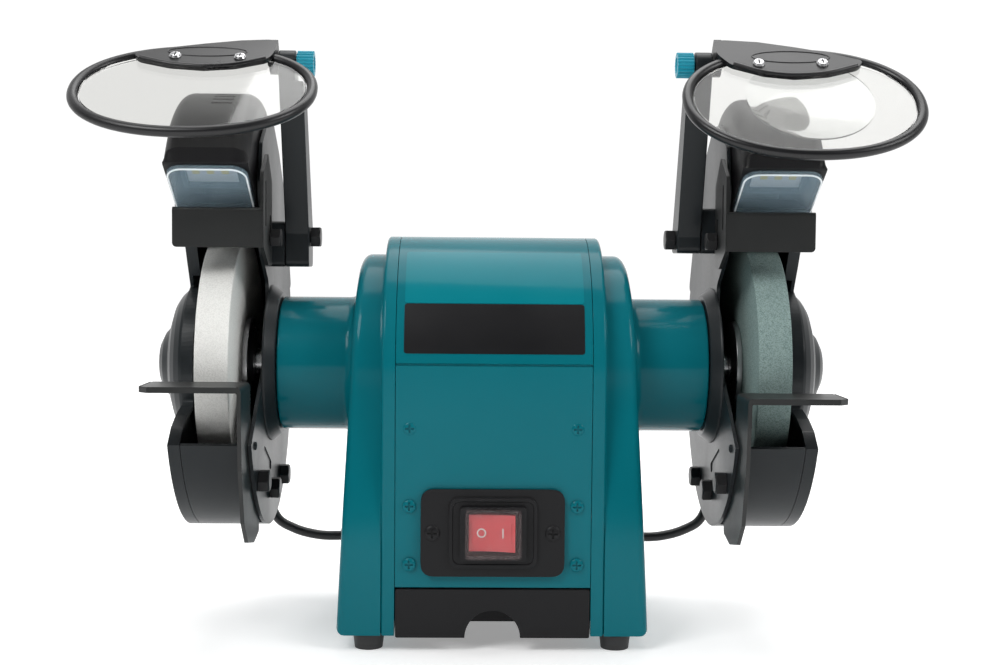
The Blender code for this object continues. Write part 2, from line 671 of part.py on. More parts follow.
def make_arm(tag, side):
    y0, z0 = with_guard([ARM_BOLT])[0]
    y1, z1 = pivot_of(side)
    low = z0 - ARM_DROP[side]
    lean = radians(21.6)
    tip = arc(y1, z1, 7.5, 20, 200, 9)
    outline = tip + [(y0 - 12, z0 + 2), (y0 - 12, low + 2), (y0 - 10, low)]
    outline += [(y0 + 10, low), (y0 + 12, low + 2), (y0 + 12, z0 + 4)]
    arm = solid(f"{tag}_shield_arm", prism("X", outline, ARM_X0, ARM_X1), BLACK, side, (ARM_X0, y0, z0))
    wall = 2.2
    web = Vector((-sin(lean), cos(lean)))
    start = Vector((y0 - 12 + wall, z0 + 2))
    end = start + web * 82
    channel = [(y0 - 12 + wall, low + 3), tuple(start), tuple(end)]
    channel += [(end.x + 40, end.y + 10), (y0 + 30, low + 3)]
    cut(
        arm,
        prism("X", channel, ARM_X0 + wall, ARM_X1 - wall),
        box(ARM_X0 - 2, 114.4, -60, -20, z1 - 11, z1 + 13),
        rod("X", ARM_X0 - 3, ARM_X1 + 3, 3.3, y0, z0, 12),
        rod("X", ARM_X0 - 3, ARM_X1 + 3, 3.0, y1, z1, 12),
        side=side,
    )


def shield_point(side, x, v, w):
    """A point from its X, its distance down the shield's slope and its height off the pivot."""
    tilt = radians(SHIELD_TILT[side])
    y0, z0 = pivot_of(side)
    return (x, y0 - v * cos(tilt) - w * sin(tilt), z0 - v * sin(tilt) + w * cos(tilt))


def oval(side, inset, count):
    """(x, v) round the shield, a little squarer than an ellipse."""
    a, b = SHIELD_HALF
    outline = []
    for i in range(count):
        t = 2 * pi * i / count
        c = abs(cos(t)) ** 0.94 * (1 if cos(t) > 0 else -1)
        s = abs(sin(t)) ** 0.94 * (1 if sin(t) > 0 else -1)
        outline.append((SHIELD_X[side] + (a - inset) * c, SHIELD_MIDDLE + (b - inset) * s))
    return outline


def shield_slab(side, outline, low, high):
    return loft([[shield_point(side, x, v, w) for x, v in outline] for w in (low, high)])


def make_shield(tag, side):
    level = SHIELD_LEVEL[side]
    y0, z0 = pivot_of(side)
    pivot = (ARM_X1, y0, z0)
    path = [Vector(shield_point(side, x, v, level)) for x, v in oval(side, 0, 40)]
    frame = solid(f"{tag}_shield_frame", hose(path, BEAD, 6, ring_shaped=True), BLACK_PLASTIC, side, pivot)
    mid = SHIELD_X[side]
    near = ARM_X1 + 0.6
    clamp = [(mid + 38, 14), (mid + 20, 7), (mid, 1.5), (mid - 20, -3), (near, -5), (near, 9)]
    clamp += [(mid - 38, 19), (mid - 20, 27), (mid - 3, 29.5), (mid + 16, 27), (mid + 34, 20)]
    plate = shield_slab(side, clamp, level + 1.4, level + 4.2)
    ear_outline = arc(0, 0, 7.2, 180, 360, 9) + [(7.2, level + 3), (-6.6, level + 3)]
    ear = [[shield_point(side, x, v, w) for v, w in ear_outline] for x in (near, ARM_X1 + 5)]
    add(frame, plate, loft(ear), side=side)
    cut(frame, rod("X", 118, 131, 3.1, y0, z0, 12), side=side)
    pane = shield_slab(side, oval(side, BEAD + PANE_FIT, 40), level - 1.0, level + 1.0)
    solid(f"{tag}_shield_pane", pane, CLEAR, side, pivot)
    head = rod("X", 104, 114, 7.3, y0, z0, 24)
    knob = solid(f"{tag}_shield_knob", head, TEAL_PLASTIC, side, (104, y0, z0))
    add(knob, rod("X", 113, 130.5, 2.7, y0, z0, 12), side=side)
    if side == 1:
        rings = []
        for drop, radius in ((1.3, 35.5), (2.4, 35.5), (3.8, 29.0), (4.8, 18.0), (5.1, 6.0)):
            lens = circle(mid + 4, MAGNIFIER_V, radius, 32)
            rings.append([shield_point(side, x, v, level - drop) for x, v in lens])
        solid("right_magnifier", loft(rings), CLEAR, side, pivot)


# Switch: plate, body, rocker and clear boot


def make_switch():
    plate = prism("Y", rounded_box(-40.5, 40.0, 41.2, 90.4, 7.5, 6), -77.9, -76.0)
    made = solid("switch_plate", plate, BLACK_PLASTIC)
    rim = prism("Y", rounded_box(-24.6, 24.6, 46.6, 85.8, 6.0, 5), -80.2, -77.0)
    add(made, rim)
    cut(made, prism("Y", rounded_box(-17.4, 17.4, 52.0, 80.6, 2, 3), -84, -70))
    body = prism("Y", rounded_box(-17.0, 17.0, 52.4, 80.2, 1.6, 3), -80.2, -50)
    made = solid("switch_body", body, BLACK_PLASTIC)
    add(made, prism("Y", rounded_box(-18.5, 18.5, 51.0, 81.2, 2.5, 4), -83.0, -80.5 + 0.3))
    cut(made, prism("Y", rounded_box(-14.2, 14.2, 54.0, 78.6, 1.0, 2), -90, -68.5))
    pivot = Vector((0.0, -76.5))
    outline = [(-13.0, -81.8), (-6, -80.7), (0, -80.2), (6, -80.7), (13.0, -81.8)]
    outline += [(12.4, -75.5), (4, -73.2), (-4, -73.2), (-12.4, -75.5)]
    turn = radians(-ROCKER_TURN / 2)
    turned = []
    for x, y in outline:
        dx = x - pivot.x
        dy = y - pivot.y
        turned.append((pivot.x + dx * cos(turn) - dy * sin(turn), pivot.y + dx * sin(turn) + dy * cos(turn)))
    rocker = prism("Z", turned, 56.0, 76.6)
    solid("switch_rocker", rocker, RED_PLASTIC, 1, (0.0, pivot.y, 66.3))
    boot = prism("Y", rounded_box(-15.6, 15.6, 52.6, 80.0, 2.5, 4), -88.2, -83.3)
    made = solid("switch_boot", boot, CLEAR)
    cut(made, prism("Y", rounded_box(-14.8, 14.8, 53.4, 79.2, 2.0, 3), -87.4, -80))


# Quench tray: a pull-out drawer with a finger scoop under its front


def make_tray():
    edge = SEAM_X - 0.4
    side = SEAM_X - 3.0
    wall = 2.0
    front = prism("Y", rounded_box(-edge, edge, 6.0, TRAY_TOP_Z, 1.2, 2), -75.6, -72.0)
    tray = solid("quench_tray", front, BLACK_PLASTIC)
    add(tray, box(-side, side, -73, 38, 9.6, 31.5))
    hump = tool("quench_tray_hump", rod("Y", -80, -49, 18.0, 0.0, 6.0, 28))
    room = tool("quench_tray_room", box(wall - side, side - wall, -70, 38 - wall, 9.6 + wall, 40))
    around = room.modifiers.new("hump", "BOOLEAN")
    around.operation = "DIFFERENCE"
    around.solver = "EXACT"
    around.object = hump
    hollow = tray.modifiers.new("room", "BOOLEAN")
    hollow.operation = "DIFFERENCE"
    hollow.solver = "EXACT"
    hollow.object = room
    cut(tray, rod("Y", -80, -52, 15.6, 0.0, 6.0, 28))


make_body()
make_motor()
make_spindle()
make_switch()
make_tray()
for which, label in ((-1, "left"), (1, "right")):
    make_guard(label, which)
    make_guard_cover(label, which)
    make_bolts(label, which)
    make_lamp(label, which)
    make_tool_rest(label, which)
    make_deflector(label, which)
    make_arm(label, which)
    make_shield(label, which)
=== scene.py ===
from math import atan2, cos, hypot, pi, radians, sin, sqrt

import bmesh
import bpy
from mathutils import Matrix, Vector


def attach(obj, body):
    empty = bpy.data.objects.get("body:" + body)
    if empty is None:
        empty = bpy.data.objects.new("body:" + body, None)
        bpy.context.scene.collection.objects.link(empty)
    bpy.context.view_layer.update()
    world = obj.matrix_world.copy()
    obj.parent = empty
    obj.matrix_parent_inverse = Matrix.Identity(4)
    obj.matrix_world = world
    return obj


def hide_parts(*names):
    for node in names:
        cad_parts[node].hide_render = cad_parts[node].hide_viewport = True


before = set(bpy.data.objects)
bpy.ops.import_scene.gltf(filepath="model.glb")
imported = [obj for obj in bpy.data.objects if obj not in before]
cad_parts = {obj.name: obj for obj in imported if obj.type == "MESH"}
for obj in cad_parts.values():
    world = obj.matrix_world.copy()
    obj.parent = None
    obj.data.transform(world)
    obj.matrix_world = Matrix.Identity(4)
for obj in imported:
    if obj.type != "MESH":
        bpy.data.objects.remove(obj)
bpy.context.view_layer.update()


# Camera: a normal lens at about 0.9 m, a little above the wheels, looking slightly down.
# Design points are in millimetres, with the shaft at y = 0 and z = SHAFT_Z; at() turns one
# into the frame's metres, mirrored for side -1, the operator's left.

SHAFT_Z = 155.0
OFFSET = (-2.0, 14.02, 2.0)


def at(point, side=1):
    x, y, z = point
    dx, dy, dz = OFFSET
    return Vector((x * side + dx, y + dy, z + dz)) / 1000


def aim_camera():
    lens = bpy.data.cameras.new("camera")
    lens.sensor_width = 36.0
    lens.lens = 1.485 * 36.0
    yaw, pitch, roll = 0.0217, 0.0509, 0.0087
    forward = Vector((sin(yaw) * cos(pitch), cos(yaw) * cos(pitch), -sin(pitch)))
    level = Vector((cos(yaw), -sin(yaw), 0.0))
    above = level.cross(forward)
    right = cos(roll) * level + sin(roll) * above
    up = cos(roll) * above - sin(roll) * level
    turned = Matrix((right, up, -forward)).transposed().to_4x4()
    turned.translation = at((-15.0, -900.0, 220.0))
    camera = bpy.data.objects.new("camera", lens)
    camera.matrix_world = turned
    bpy.context.scene.collection.objects.link(camera)
    bpy.context.scene.camera = camera


aim_camera()


# Lamp leads: a black 6 mm rubber cable behind each guard, from the back of the lamp down to
# the side of the motor casting, where it goes in through a moulded grommet. Both ends are
# held, and the cable hangs in a shallow bow between them.


def feed(tree, socket, value):
    """Links an output to the socket, or sets the socket to a constant."""
    if isinstance(value, bpy.types.NodeSocket):
        tree.links.new(value, socket)
    else:
        socket.default_value = value


def add_node(tree, kind, mode=None, **sockets):
    """A node of this kind, with what its sockets hold or take."""
    made = tree.nodes.new("ShaderNode" + kind)
    if mode:
        setattr(made, *mode)
    for name, value in sockets.items():
        feed(tree, made.inputs[name.replace("_", " ")], value)
    return made


def product(tree, *values):
    made = add_node(tree, "Math", ("operation", "MULTIPLY"))
    for socket, value in zip(made.inputs, values):
        feed(tree, socket, value)
    return made


OF_COLOURS = ("data_type", "RGBA")


def finish_of(
    name,
    colour,
    roughness,
    metallic=0.0,
    spread=0.05,
    tone=0.08,
    grain=900.0,
    depth=0.02,
    stretch=(1.0, 1.0, 1.0),
    cloud=14.0,
    coat=0.0,
    dust=0.0,
    sheen=0.5,
):
    """A paint, metal or plastic: a tone that drifts, uneven gloss, a fine grain and a little dust."""
    made = bpy.data.materials.new(name)
    made.use_nodes = True
    tree = made.node_tree
    shader = tree.nodes["Principled BSDF"].inputs
    shader["Metallic"].default_value = metallic
    shader["Coat Weight"].default_value = coat
    shader["Specular IOR Level"].default_value = sheen
    shader["Coat Roughness"].default_value = 0.06
    place = add_node(tree, "TexCoord").outputs["Object"]
    wide = add_node(tree, "TexNoise", Scale=cloud, Detail=5.0, Vector=place).outputs["Fac"]
    shift = add_node(tree, "Mapping", Scale=stretch, Vector=place).outputs["Vector"]
    fine = add_node(tree, "TexNoise", Scale=grain, Detail=3.0, Vector=shift).outputs["Fac"]
    low, high = max(roughness - spread, 0.02), roughness + spread
    gloss = add_node(tree, "MapRange", From_Min=0.3, From_Max=0.7, To_Min=low, To_Max=high, Value=wide)
    rubbed = add_node(tree, "Math", ("operation", "MULTIPLY_ADD"))
    for socket, value in zip(rubbed.inputs, (fine, spread, gloss.outputs["Result"])):
        feed(tree, socket, value)
    feed(tree, shader["Roughness"], rubbed.outputs["Value"])
    dark = (*[c * (1 - tone) for c in colour], 1.0)
    light = (*[min(c * (1 + tone) + 0.004, 1.0) for c in colour], 1.0)
    shade = add_node(tree, "Mix", OF_COLOURS, A=dark, B=light, Factor=wide).outputs["Result"]
    if dust:
        normal = add_node(tree, "NewGeometry").outputs["Normal"]
        upward = add_node(tree, "SeparateXYZ", Vector=normal).outputs["Z"]
        settled = product(tree, upward, wide)
        settled.use_clamp = True
        thin = product(tree, settled.outputs["Value"], dust).outputs["Value"]
        grey = (0.33, 0.32, 0.3, 1.0)
        shade = add_node(tree, "Mix", OF_COLOURS, B=grey, Factor=thin, A=shade).outputs["Result"]
    feed(tree, shader["Base Color"], shade)
    bump = add_node(tree, "Bump", Strength=1.0, Distance=depth / 1000, Height=fine)
    feed(tree, shader["Normal"], bump.outputs["Normal"])
    return made


def smooth_path(points, steps):
    """Points of a smooth curve through the given ones."""
    ends = [points[0], *points, points[-1]]
    path = []
    for i in range(1, len(ends) - 2):
        p0, p1, p2, p3 = (Vector(ends[i + k]) for k in (-1, 0, 1, 2))
        for step in range(steps):
            t = step / steps
            low = p1 * 2 + (p2 - p0) * t
            high = (p0 * 2 - p1 * 5 + p2 * 4 - p3) * t * t
            path.append((low + high + (p1 * 3 - p0 - p2 * 3 + p3) * t**3) / 2)
    path.append(Vector(points[-1]))
    return path


rubber = finish_of("rubber_sheath", (0.010, 0.010, 0.011), 0.45, 0.0, 0.08, 0.2, 1400.0, 0.03)


def make_lead(tag, side):
    route = [(152, 88.8, 205.4), (152, 93.5, 192), (152, 99.5, 172), (152, 101.4, 147)]
    route += [(151, 96.0, 120), (149, 84.0, 96), (146, 71.5, 70), (139, 63.5, 50.5)]
    route += [(127, 62.0, 42.5), (112, 61.5, 38.5), (98, 61.0, 38), (83, 60.0, 39.5)]
    path = [at(point, side) for point in smooth_path(route, 12)]
    curve = bpy.data.curves.new(f"{tag}_lead", "CURVE")
    curve.dimensions = "3D"
    curve.bevel_depth = 0.003
    curve.bevel_resolution = 6
    curve.use_fill_caps = True
    line = curve.splines.new("POLY")
    line.points.add(len(path) - 1)
    for point, place in zip(line.points, path):
        point.co = (*place, 1.0)
    line.use_smooth = True
    curve.materials.append(rubber)
    lead = bpy.data.objects.new(f"{tag}_lead", curve)
    bpy.context.scene.collection.objects.link(lead)
    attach(lead, "housing")
    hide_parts(f"{tag}_lamp_lead")


make_lead("left", -1)
make_lead("right", 1)


# Motor body: two cast end bells with their bearing tubes, and one painted sheet that wraps the
# middle. Glossy blue-green enamel, a little uneven where it pooled. The hood carries a paler
# blank label above a black one, and six pan screws hold the front.


def loft(rings, closed=False):
    """Points and faces of a skin over rings of equal length."""
    count = len(rings[0])
    total = len(rings)
    faces = []
    for i in range(total if closed else total - 1):
        low = i * count
        high = (i + 1) % total * count
        for j in range(count):
            k = (j + 1) % count
            faces.append((low + j, low + k, high + k, high + j))
    if not closed:
        faces.append(tuple(range(count)))
        faces.append(tuple(range((total - 1) * count, total * count)))
    return [point for ring in rings for point in ring], faces


def along(axis, a, b, level):
    return {"X": (level, a, b), "Y": (a, level, b), "Z": (a, b, level)}[axis]


def prism(axis, outline, low, high):
    return loft([[along(axis, a, b, level) for a, b in outline] for level in (low, high)])


def arc(a, b, radius, first, last, count):
    turns = [radians(first + (last - first) * i / (count - 1)) for i in range(count)]
    return [(a + radius * cos(t), b + radius * sin(t)) for t in turns]


def soften(points, radius, steps=5, closed=True):
    """The same outline with each corner rounded off, as far as its sides allow."""
    made = []
    total = len(points)
    for i in range(total):
        here = Vector(points[i])
        if not closed and i in (0, total - 1):
            made.append(tuple(here))
            continue
        back = Vector(points[i - 1]) - here
        ahead = Vector(points[(i + 1) % total]) - here
        bend = back.angle(ahead)
        if bend > 3.1 or bend < 0.02:
            made.append(tuple(here))
            continue
        reach = min(radius / sqrt((1 - cos(bend)) / (1 + cos(bend))), back.length / 2.05, ahead.length / 2.05)
        first = here + back.normalized() * reach
        last = here + ahead.normalized() * reach
        for step in range(steps + 1):
            t = step / steps
            made.append(tuple(first * (1 - t) ** 2 + here * 2 * t * (1 - t) + last * t * t))
    return made


def block(a0, a1, b0, b1, radius=0.0):
    corners = [(a0, b0), (a1, b0), (a1, b1), (a0, b1)]
    return soften(corners, radius) if radius else corners


def lathe(axis, profile, a=0.0, b=SHAFT_Z, count=96, closed=False):
    """Turns (level, radius) pairs about the axis line through a, b."""
    rings = []
    for level, radius in profile:
        ring = [2 * pi * i / count for i in range(count)]
        rings.append([along(axis, a + radius * cos(t), b + radius * sin(t), level) for t in ring])
    return loft(rings, closed)


def rod(axis, low, high, radius, a=0.0, b=SHAFT_Z, count=32):
    return lathe(axis, [(low, radius), (high, radius)], a, b, count)


def skin(name, shape, side):
    points, faces = shape
    mesh = bpy.data.meshes.new(name)
    mesh.from_pydata([at(point, side) for point in points], [], faces)
    work = bmesh.new()
    work.from_mesh(mesh)
    bmesh.ops.remove_doubles(work, verts=work.verts, dist=1e-7)
    bmesh.ops.recalc_face_normals(work, faces=work.faces)
    work.to_mesh(mesh)
    work.free()
    mesh.shade_smooth()
    obj = bpy.data.objects.new(name, mesh)
    bpy.context.scene.collection.objects.link(obj)
    return obj


def settle(obj):
    """The object's modifiers become part of its mesh."""
    bpy.context.view_layer.update()
    graph = bpy.context.evaluated_depsgraph_get()
    shown = obj.evaluated_get(graph)
    mesh = bpy.data.meshes.new_from_object(shown, preserve_all_data_layers=True, depsgraph=graph)
    obj.modifiers.clear()
    obj.data = mesh


def piece(name, shape, finish, body, nodes=(), side=1, adds=(), cuts=(), bevel=0.0, edge=38.0):
    """One finished piece: joined and cut shapes, worn edges, a finish, and the body it rides on."""
    obj = skin(name, shape, side)
    helpers = []
    for operation, shapes in (("UNION", adds), ("DIFFERENCE", cuts)):
        for other in shapes:
            helper = skin("helper", other, side)
            helpers.append(helper)
            joined = obj.modifiers.new("joined", "BOOLEAN")
            joined.operation = operation
            joined.solver = "EXACT"
            joined.object = helper
    if bevel:
        worn = obj.modifiers.new("worn", "BEVEL")
        worn.width = bevel / 1000
        worn.segments = 3
        worn.limit_method = "ANGLE"
        worn.angle_limit = radians(edge)
    settle(obj)
    for helper in helpers:
        bpy.data.objects.remove(helper)
    obj.data.materials.clear()
    obj.data.materials.append(finish)
    obj.data.set_sharp_from_angle(angle=radians(45.0))
    even = obj.modifiers.new("even", "WEIGHTED_NORMAL")
    even.keep_sharp = True
    settle(obj)
    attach(obj, body)
    if nodes:
        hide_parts(*nodes)
    return obj


teal = finish_of(
    "teal_enamel", (0.0, 0.124, 0.155), 0.15, 0.0, 0.04, 0.07, 420.0, 0.008, coat=0.07, dust=0.02, sheen=0.08
)
label_teal = finish_of(
    "pale_label", (0.001, 0.160, 0.196), 0.2, 0.0, 0.04, 0.05, 700.0, 0.004, coat=0.07, sheen=0.08
)
label_black = finish_of(
    "black_label", (0.006, 0.006, 0.007), 0.32, 0.0, 0.05, 0.1, 700.0, 0.004, coat=0.1, sheen=0.3
)

SEAM_X = 55.0
HOOD_RADIUS = 76.7
SHOULDER_RADIUS = 66.0
FLOOR_OF_BODY = 7.0


def side_x(z):
    """How far out the end bell's side face stands at a height."""
    table = ((7.0, 88.0), (155.0, 81.0), (195.0, 79.5), (212.0, 78.5), (222.0, 77.0))
    for (z0, x0), (z1, x1) in zip(table, table[1:]):
        if z <= z1:
            return x0 + (x1 - x0) * max(z - z0, 0.0) / (z1 - z0)
    return 77.0


def half_depth(z, raised):
    drop = min((SHAFT_Z - z) / 110, 1.0)
    start = SHOULDER_RADIUS + (HOOD_RADIUS - SHOULDER_RADIUS) * raised
    return start + (75.0 - start) * drop * drop * (3 - 2 * drop)


def body_outline(raised, inset):
    """The body's (y, z) outline; raised runs from 0 at the shoulder to 1 at the hood."""
    radius = SHOULDER_RADIUS + (HOOD_RADIUS - SHOULDER_RADIUS) * raised - inset
    outline = arc(0, SHAFT_Z, radius, 0, 180, 73)
    low = FLOOR_OF_BODY + inset
    levels = [SHAFT_Z + (low - SHAFT_Z) * (i / 26) for i in range(1, 27)]
    outline += [(-half_depth(z, raised) + inset, z) for z in levels]
    outline += [(y, low) for y in (-60, -45, -30, -15, 0, 15, 30, 45, 60)]
    return outline + [(half_depth(z, raised) - inset, z) for z in reversed(levels)]


def casting_ring(raised, inset, x=None, from_side=0.0):
    outline = body_outline(raised, inset)
    return [(side_x(z) + from_side if x is None else x, y, z) for y, z in outline]


def tube_ring(x, radius, from_side=None):
    ring = []
    for y, z in body_outline(0, 0):
        t = atan2(z - SHAFT_Z, y)
        place = (radius * cos(t), SHAFT_Z + radius * sin(t))
        ring.append((x if from_side is None else side_x(place[1]) + from_side, *place))
    return ring


def make_casting(tag, side):
    rings = [casting_ring(1, 0.35, SEAM_X + 0.15), casting_ring(1, 0.08, SEAM_X + 0.25)]
    rings += [casting_ring(1, 0, SEAM_X + 0.6), casting_ring(1, 0, 60.9)]
    for k in range(1, 6):
        t = radians(15 * k)
        rings.append(casting_ring(1, 1.9 * (1 - cos(t)), 60.9 + 1.9 * sin(t)))
    rings += [casting_ring(0.55, 0, 62.9), casting_ring(0.16, 0, 63.0)]
    rings += [casting_ring(0.04, 0, 63.4), casting_ring(0, 0, 64.6), casting_ring(0, 0, None, -5.0)]
    for k in range(1, 7):
        t = radians(15 * k)
        rings.append(casting_ring(0, 4.6 * (1 - cos(t)), None, -4.6 + 4.6 * sin(t)))
    rings.append(tube_ring(0, 46.5, 0.0))
    for k in range(1, 6):
        t = radians(18 * k)
        rings.append(tube_ring(0, 40 + 6 * (1 - sin(t)), 6 * (1 - cos(t))))
    rings += [tube_ring(124.6, 40)]
    for k in range(1, 5):
        t = radians(22.5 * k)
        rings.append(tube_ring(124.6 + 1.4 * sin(t), 40 - 1.4 * (1 - cos(t))))
    rings += [tube_ring(126.0, 12.0), tube_ring(124.0, 12.0), tube_ring(124.0, 17.8)]
    rings += [tube_ring(112.0, 17.8), tube_ring(112.0, 36.0), tube_ring(84.5, 36.0)]
    rings += [casting_ring(0, 7.0, None, -3.6), casting_ring(0, 3.0, None, -7.5)]
    rings += [casting_ring(0, 3.0, 60.4), casting_ring(1, 3.0, 59.8), casting_ring(1, 3.0, SEAM_X + 0.15)]
    nodes = (f"{tag}_motor_casting",)
    hole = rod("X", 70.0, 95.0, 3.6, 60.0, 39.5)
    piece(
        f"{tag}_end_bell", loft(rings, True), teal, "housing", nodes, side, cuts=[hole]
    )
    profile = [(86.4, 3.4), (86.4, 6.4), (88.6, 6.8), (89.6, 6.2), (92.0, 5.4), (96.0, 4.6), (96.6, 3.1)]
    grommet = lathe("X", soften(profile, 0.5, 3), 60.6, 38.6, 40, True)
    piece(f"{tag}_lead_grommet", grommet, rubber, "housing", side=side)


make_casting("left", -1)
make_casting("right", 1)


def make_wrap():
    edge = SEAM_X - 0.15
    sheet = 1.8
    levels = [34.5 + (159.0 - 34.5) * i / 24 for i in range(25)]
    front = [(-half_depth(z, 1) + 0.35, z) for z in reversed(levels)]
    lip = [(-HOOD_RADIUS + 1.3, 160.2), (-HOOD_RADIUS + 1.3, 159.4)]
    back_levels = [10.0 + (150.0 - 10.0) * i / 24 for i in range(25)]
    back = [(half_depth(z, 1), z) for z in back_levels]
    outer = arc(0, SHAFT_Z, HOOD_RADIUS, 0, 175.8, 90) + lip + front
    inner_front = [(-half_depth(z, 1) + sheet, z) for z in levels]
    inner = arc(0, SHAFT_Z, HOOD_RADIUS - sheet, 178, 0, 60)
    inner_back = [(y - sheet, z) for y, z in reversed(back)]
    outline = outer + inner_front + inner + inner_back + back
    window = prism("Y", block(-20, 20, 46, 84, 2), -80, -70)
    hole = rod("Y", 70, 80, 7.0, 30.0, 48.0)
    piece(
        "wrap_sheet",
        prism("X", outline, -edge, edge),
        teal,
        "housing",
        ("wrap_cover",),
        cuts=[window, hole],
        bevel=0.35,
        edge=30.0,
    )


make_wrap()


def make_label(name, low, high, finish, radius):
    """A thin label bent round the hood between two angles above the front."""
    rings = []
    half = 50.4
    rows = 40
    for i in range(rows + 1):
        turn = low + (high - low) * i / rows
        near = min(turn - low, high - turn) * pi / 180 * HOOD_RADIUS
        trim = radius - sqrt(radius**2 - (radius - near) ** 2) if near < radius else 0.0
        out, under = HOOD_RADIUS + 0.22, HOOD_RADIUS + 0.02
        c, s = cos(radians(turn)), sin(radians(turn))
        x = half - trim
        ring = [(-x, -out * c, SHAFT_Z + out * s), (x, -out * c, SHAFT_Z + out * s)]
        rings.append(ring + [(x, -under * c, SHAFT_Z + under * s), (-x, -under * c, SHAFT_Z + under * s)])
    piece(name, loft(rings), finish, "housing")


make_label("pale_label", 30.3, 61.2, label_teal, 1.2)
make_label("black_label", 8.2, 30.0, label_black, 1.2)


def make_pan_screw(name, x, z, finish, radius=3.8, high=2.0, level=-75.4, facing=-1, cross=0.9):
    """A pan-head screw on the front or the back, with a cross recess."""
    domed = [(0.0, radius), (0.5 * high, radius), (0.8 * high, 0.86 * radius)]
    domed += [(0.95 * high, 0.6 * radius), (high, 0.25 * radius)]
    profile = [(level + facing * (up - 0.6), around) for up, around in domed]
    depth = sorted((level + facing * (high - 1.6), level + facing * (high + 2)))
    slots = []
    arm = 0.62 * radius
    for a, b in ((cross / 2, arm), (arm, cross / 2)):
        slots.append(prism("Y", block(x - a, x + a, z - b, z + b), *depth))
    piece(name, lathe("Y", profile, x, z, 40), finish, "housing", cuts=slots, bevel=0.12, edge=35.0)


for number, (x, z) in enumerate(((-47, 124), (-47, 80.4), (-47, 47.6), (47, 124), (47, 80.4), (47, 47.6))):
    make_pan_screw(f"front_screw_{number}", x, z, teal)
for number, (x, z) in enumerate(((-47, 120), (47, 120), (-47, 22), (47, 22))):
    make_pan_screw(f"back_screw_{number}", x, z, teal, level=half_depth(z, 1) - 0.2, facing=1)


# Underside: a steel plate that closes the body, four tapered rubber feet, and the moulded gland
# for the mains cord at the back.

slate = finish_of(
    "slate_paint", (0.011, 0.014, 0.016), 0.32, 0.0, 0.06, 0.14, 520.0, 0.02, coat=0.03, dust=0.03, sheen=0.2
)
moulded = finish_of(
    "moulded_black", (0.008, 0.008, 0.009), 0.4, 0.0, 0.06, 0.15, 1600.0, 0.015, dust=0.02, sheen=0.18
)


def carry(node, finish):
    """A part of the model that shows as it is, with a finish of its own."""
    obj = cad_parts[node]
    obj.data.materials.clear()
    obj.data.materials.append(finish)
    for face in obj.data.polygons:
        face.material_index = 0


carry("base_plate", slate)
for front, place in ((-1, "front"), (1, "back")):
    for side, tag in ((-1, "left"), (1, "right")):
        profile = [(-2.0, 3.0), (-2.0, 7.9), (5.5, 8.8), (6.7, 8.8), (6.7, 3.0)]
        shape = lathe("Z", soften(profile, 0.6, 4), 70.0, front * 64.0, 64, True)
        node = f"{place}_{tag}_foot"
        piece(f"{place}_{tag}_pad", shape, rubber, "housing", (node,), side)

profile = [(70.0, 6.5), (75.2, 6.6), (75.4, 11.0), (79.0, 11.0), (80.8, 8.4)]
for rib in range(4):
    level = 81.6 + 2.5 * rib
    wide = 7.9 - 0.45 * rib
    profile += [(level, wide), (level + 1.1, wide), (level + 1.5, wide - 1.1), (level + 2.1, wide - 1.1)]
profile += [(92.0, 5.6), (92.0, 3.4), (70.0, 3.4)]
gland = lathe("Y", soften(profile, 0.4, 3), 30.0, 48.0, 64, True)
piece("mains_gland", gland, moulded, "housing", ("cord_gland",))


# Motor internals, out of sight behind the castings: laminated stator with its copper windings,
# rotor, ball bearings and run capacitor. They keep the model's shapes.

laminated = finish_of(
    "laminated_steel", (0.25, 0.25, 0.26), 0.45, 1.0, 0.1, 0.1, 900.0, 0.05, (6.0, 0.2, 0.2)
)
copper = finish_of("varnished_copper", (0.42, 0.15, 0.055), 0.35, 1.0, 0.1, 0.2, 700.0, 0.1)
aluminium = finish_of("aluminium_can", (0.68, 0.68, 0.7), 0.33, 1.0, 0.08, 0.05, 900.0, 0.02)
steel = finish_of("bright_steel", (0.56, 0.56, 0.57), 0.24, 1.0, 0.07, 0.08, 500.0, 0.012, (3.0, 1.0, 1.0))
carry("stator_core", laminated)
carry("rotor_core", laminated)
carry("run_capacitor", aluminium)
for tag in ("left", "right"):
    carry(f"{tag}_winding", copper)
    carry(f"{tag}_bearing", steel)


# Switch: a black plate with a raised rim, a bezel, a red rocker with its two marks, and a clear
# dust boot over it. Two black pan screws hold the plate. The rocker rests with its off side in.

glossy_red = finish_of("red_rocker", (0.66, 0.035, 0.045), 0.25, 0.0, 0.04, 0.05, 900.0, 0.004, coat=0.4)
mark_white = finish_of("mark_white", (0.8, 0.72, 0.7), 0.4, 0.0, 0.05, 0.03, 900.0, 0.004)


def clear_of(name, colour, roughness, ior, drift):
    """A clear plastic with faint scuffs."""
    made = finish_of(name, colour, roughness, 0.0, drift, 0.01, 260.0, 0.0015, (1.0, 1.0, 1.0), 9.0)
    shader = made.node_tree.nodes["Principled BSDF"]
    shader.inputs["Transmission Weight"].default_value = 1.0
    shader.inputs["IOR"].default_value = ior
    shader.inputs["Specular IOR Level"].default_value = 0.5
    return made


def film_of(name, colour, roughness, cover):
    """A thin clear moulding that lets most of the light straight through."""
    made = finish_of(name, colour, roughness, 0.0, 0.02, 0.04, 260.0, 0.0015, cloud=9.0, coat=0.15, sheen=0.3)
    made.node_tree.nodes["Principled BSDF"].inputs["Alpha"].default_value = cover
    return made


boot_clear = film_of("clear_boot", (0.42, 0.32, 0.32), 0.06, 0.06)


def plate(x0, x1, z0, z1, radius, back, front):
    return prism("Y", block(x0, x1, z0, z1, radius), front, back)


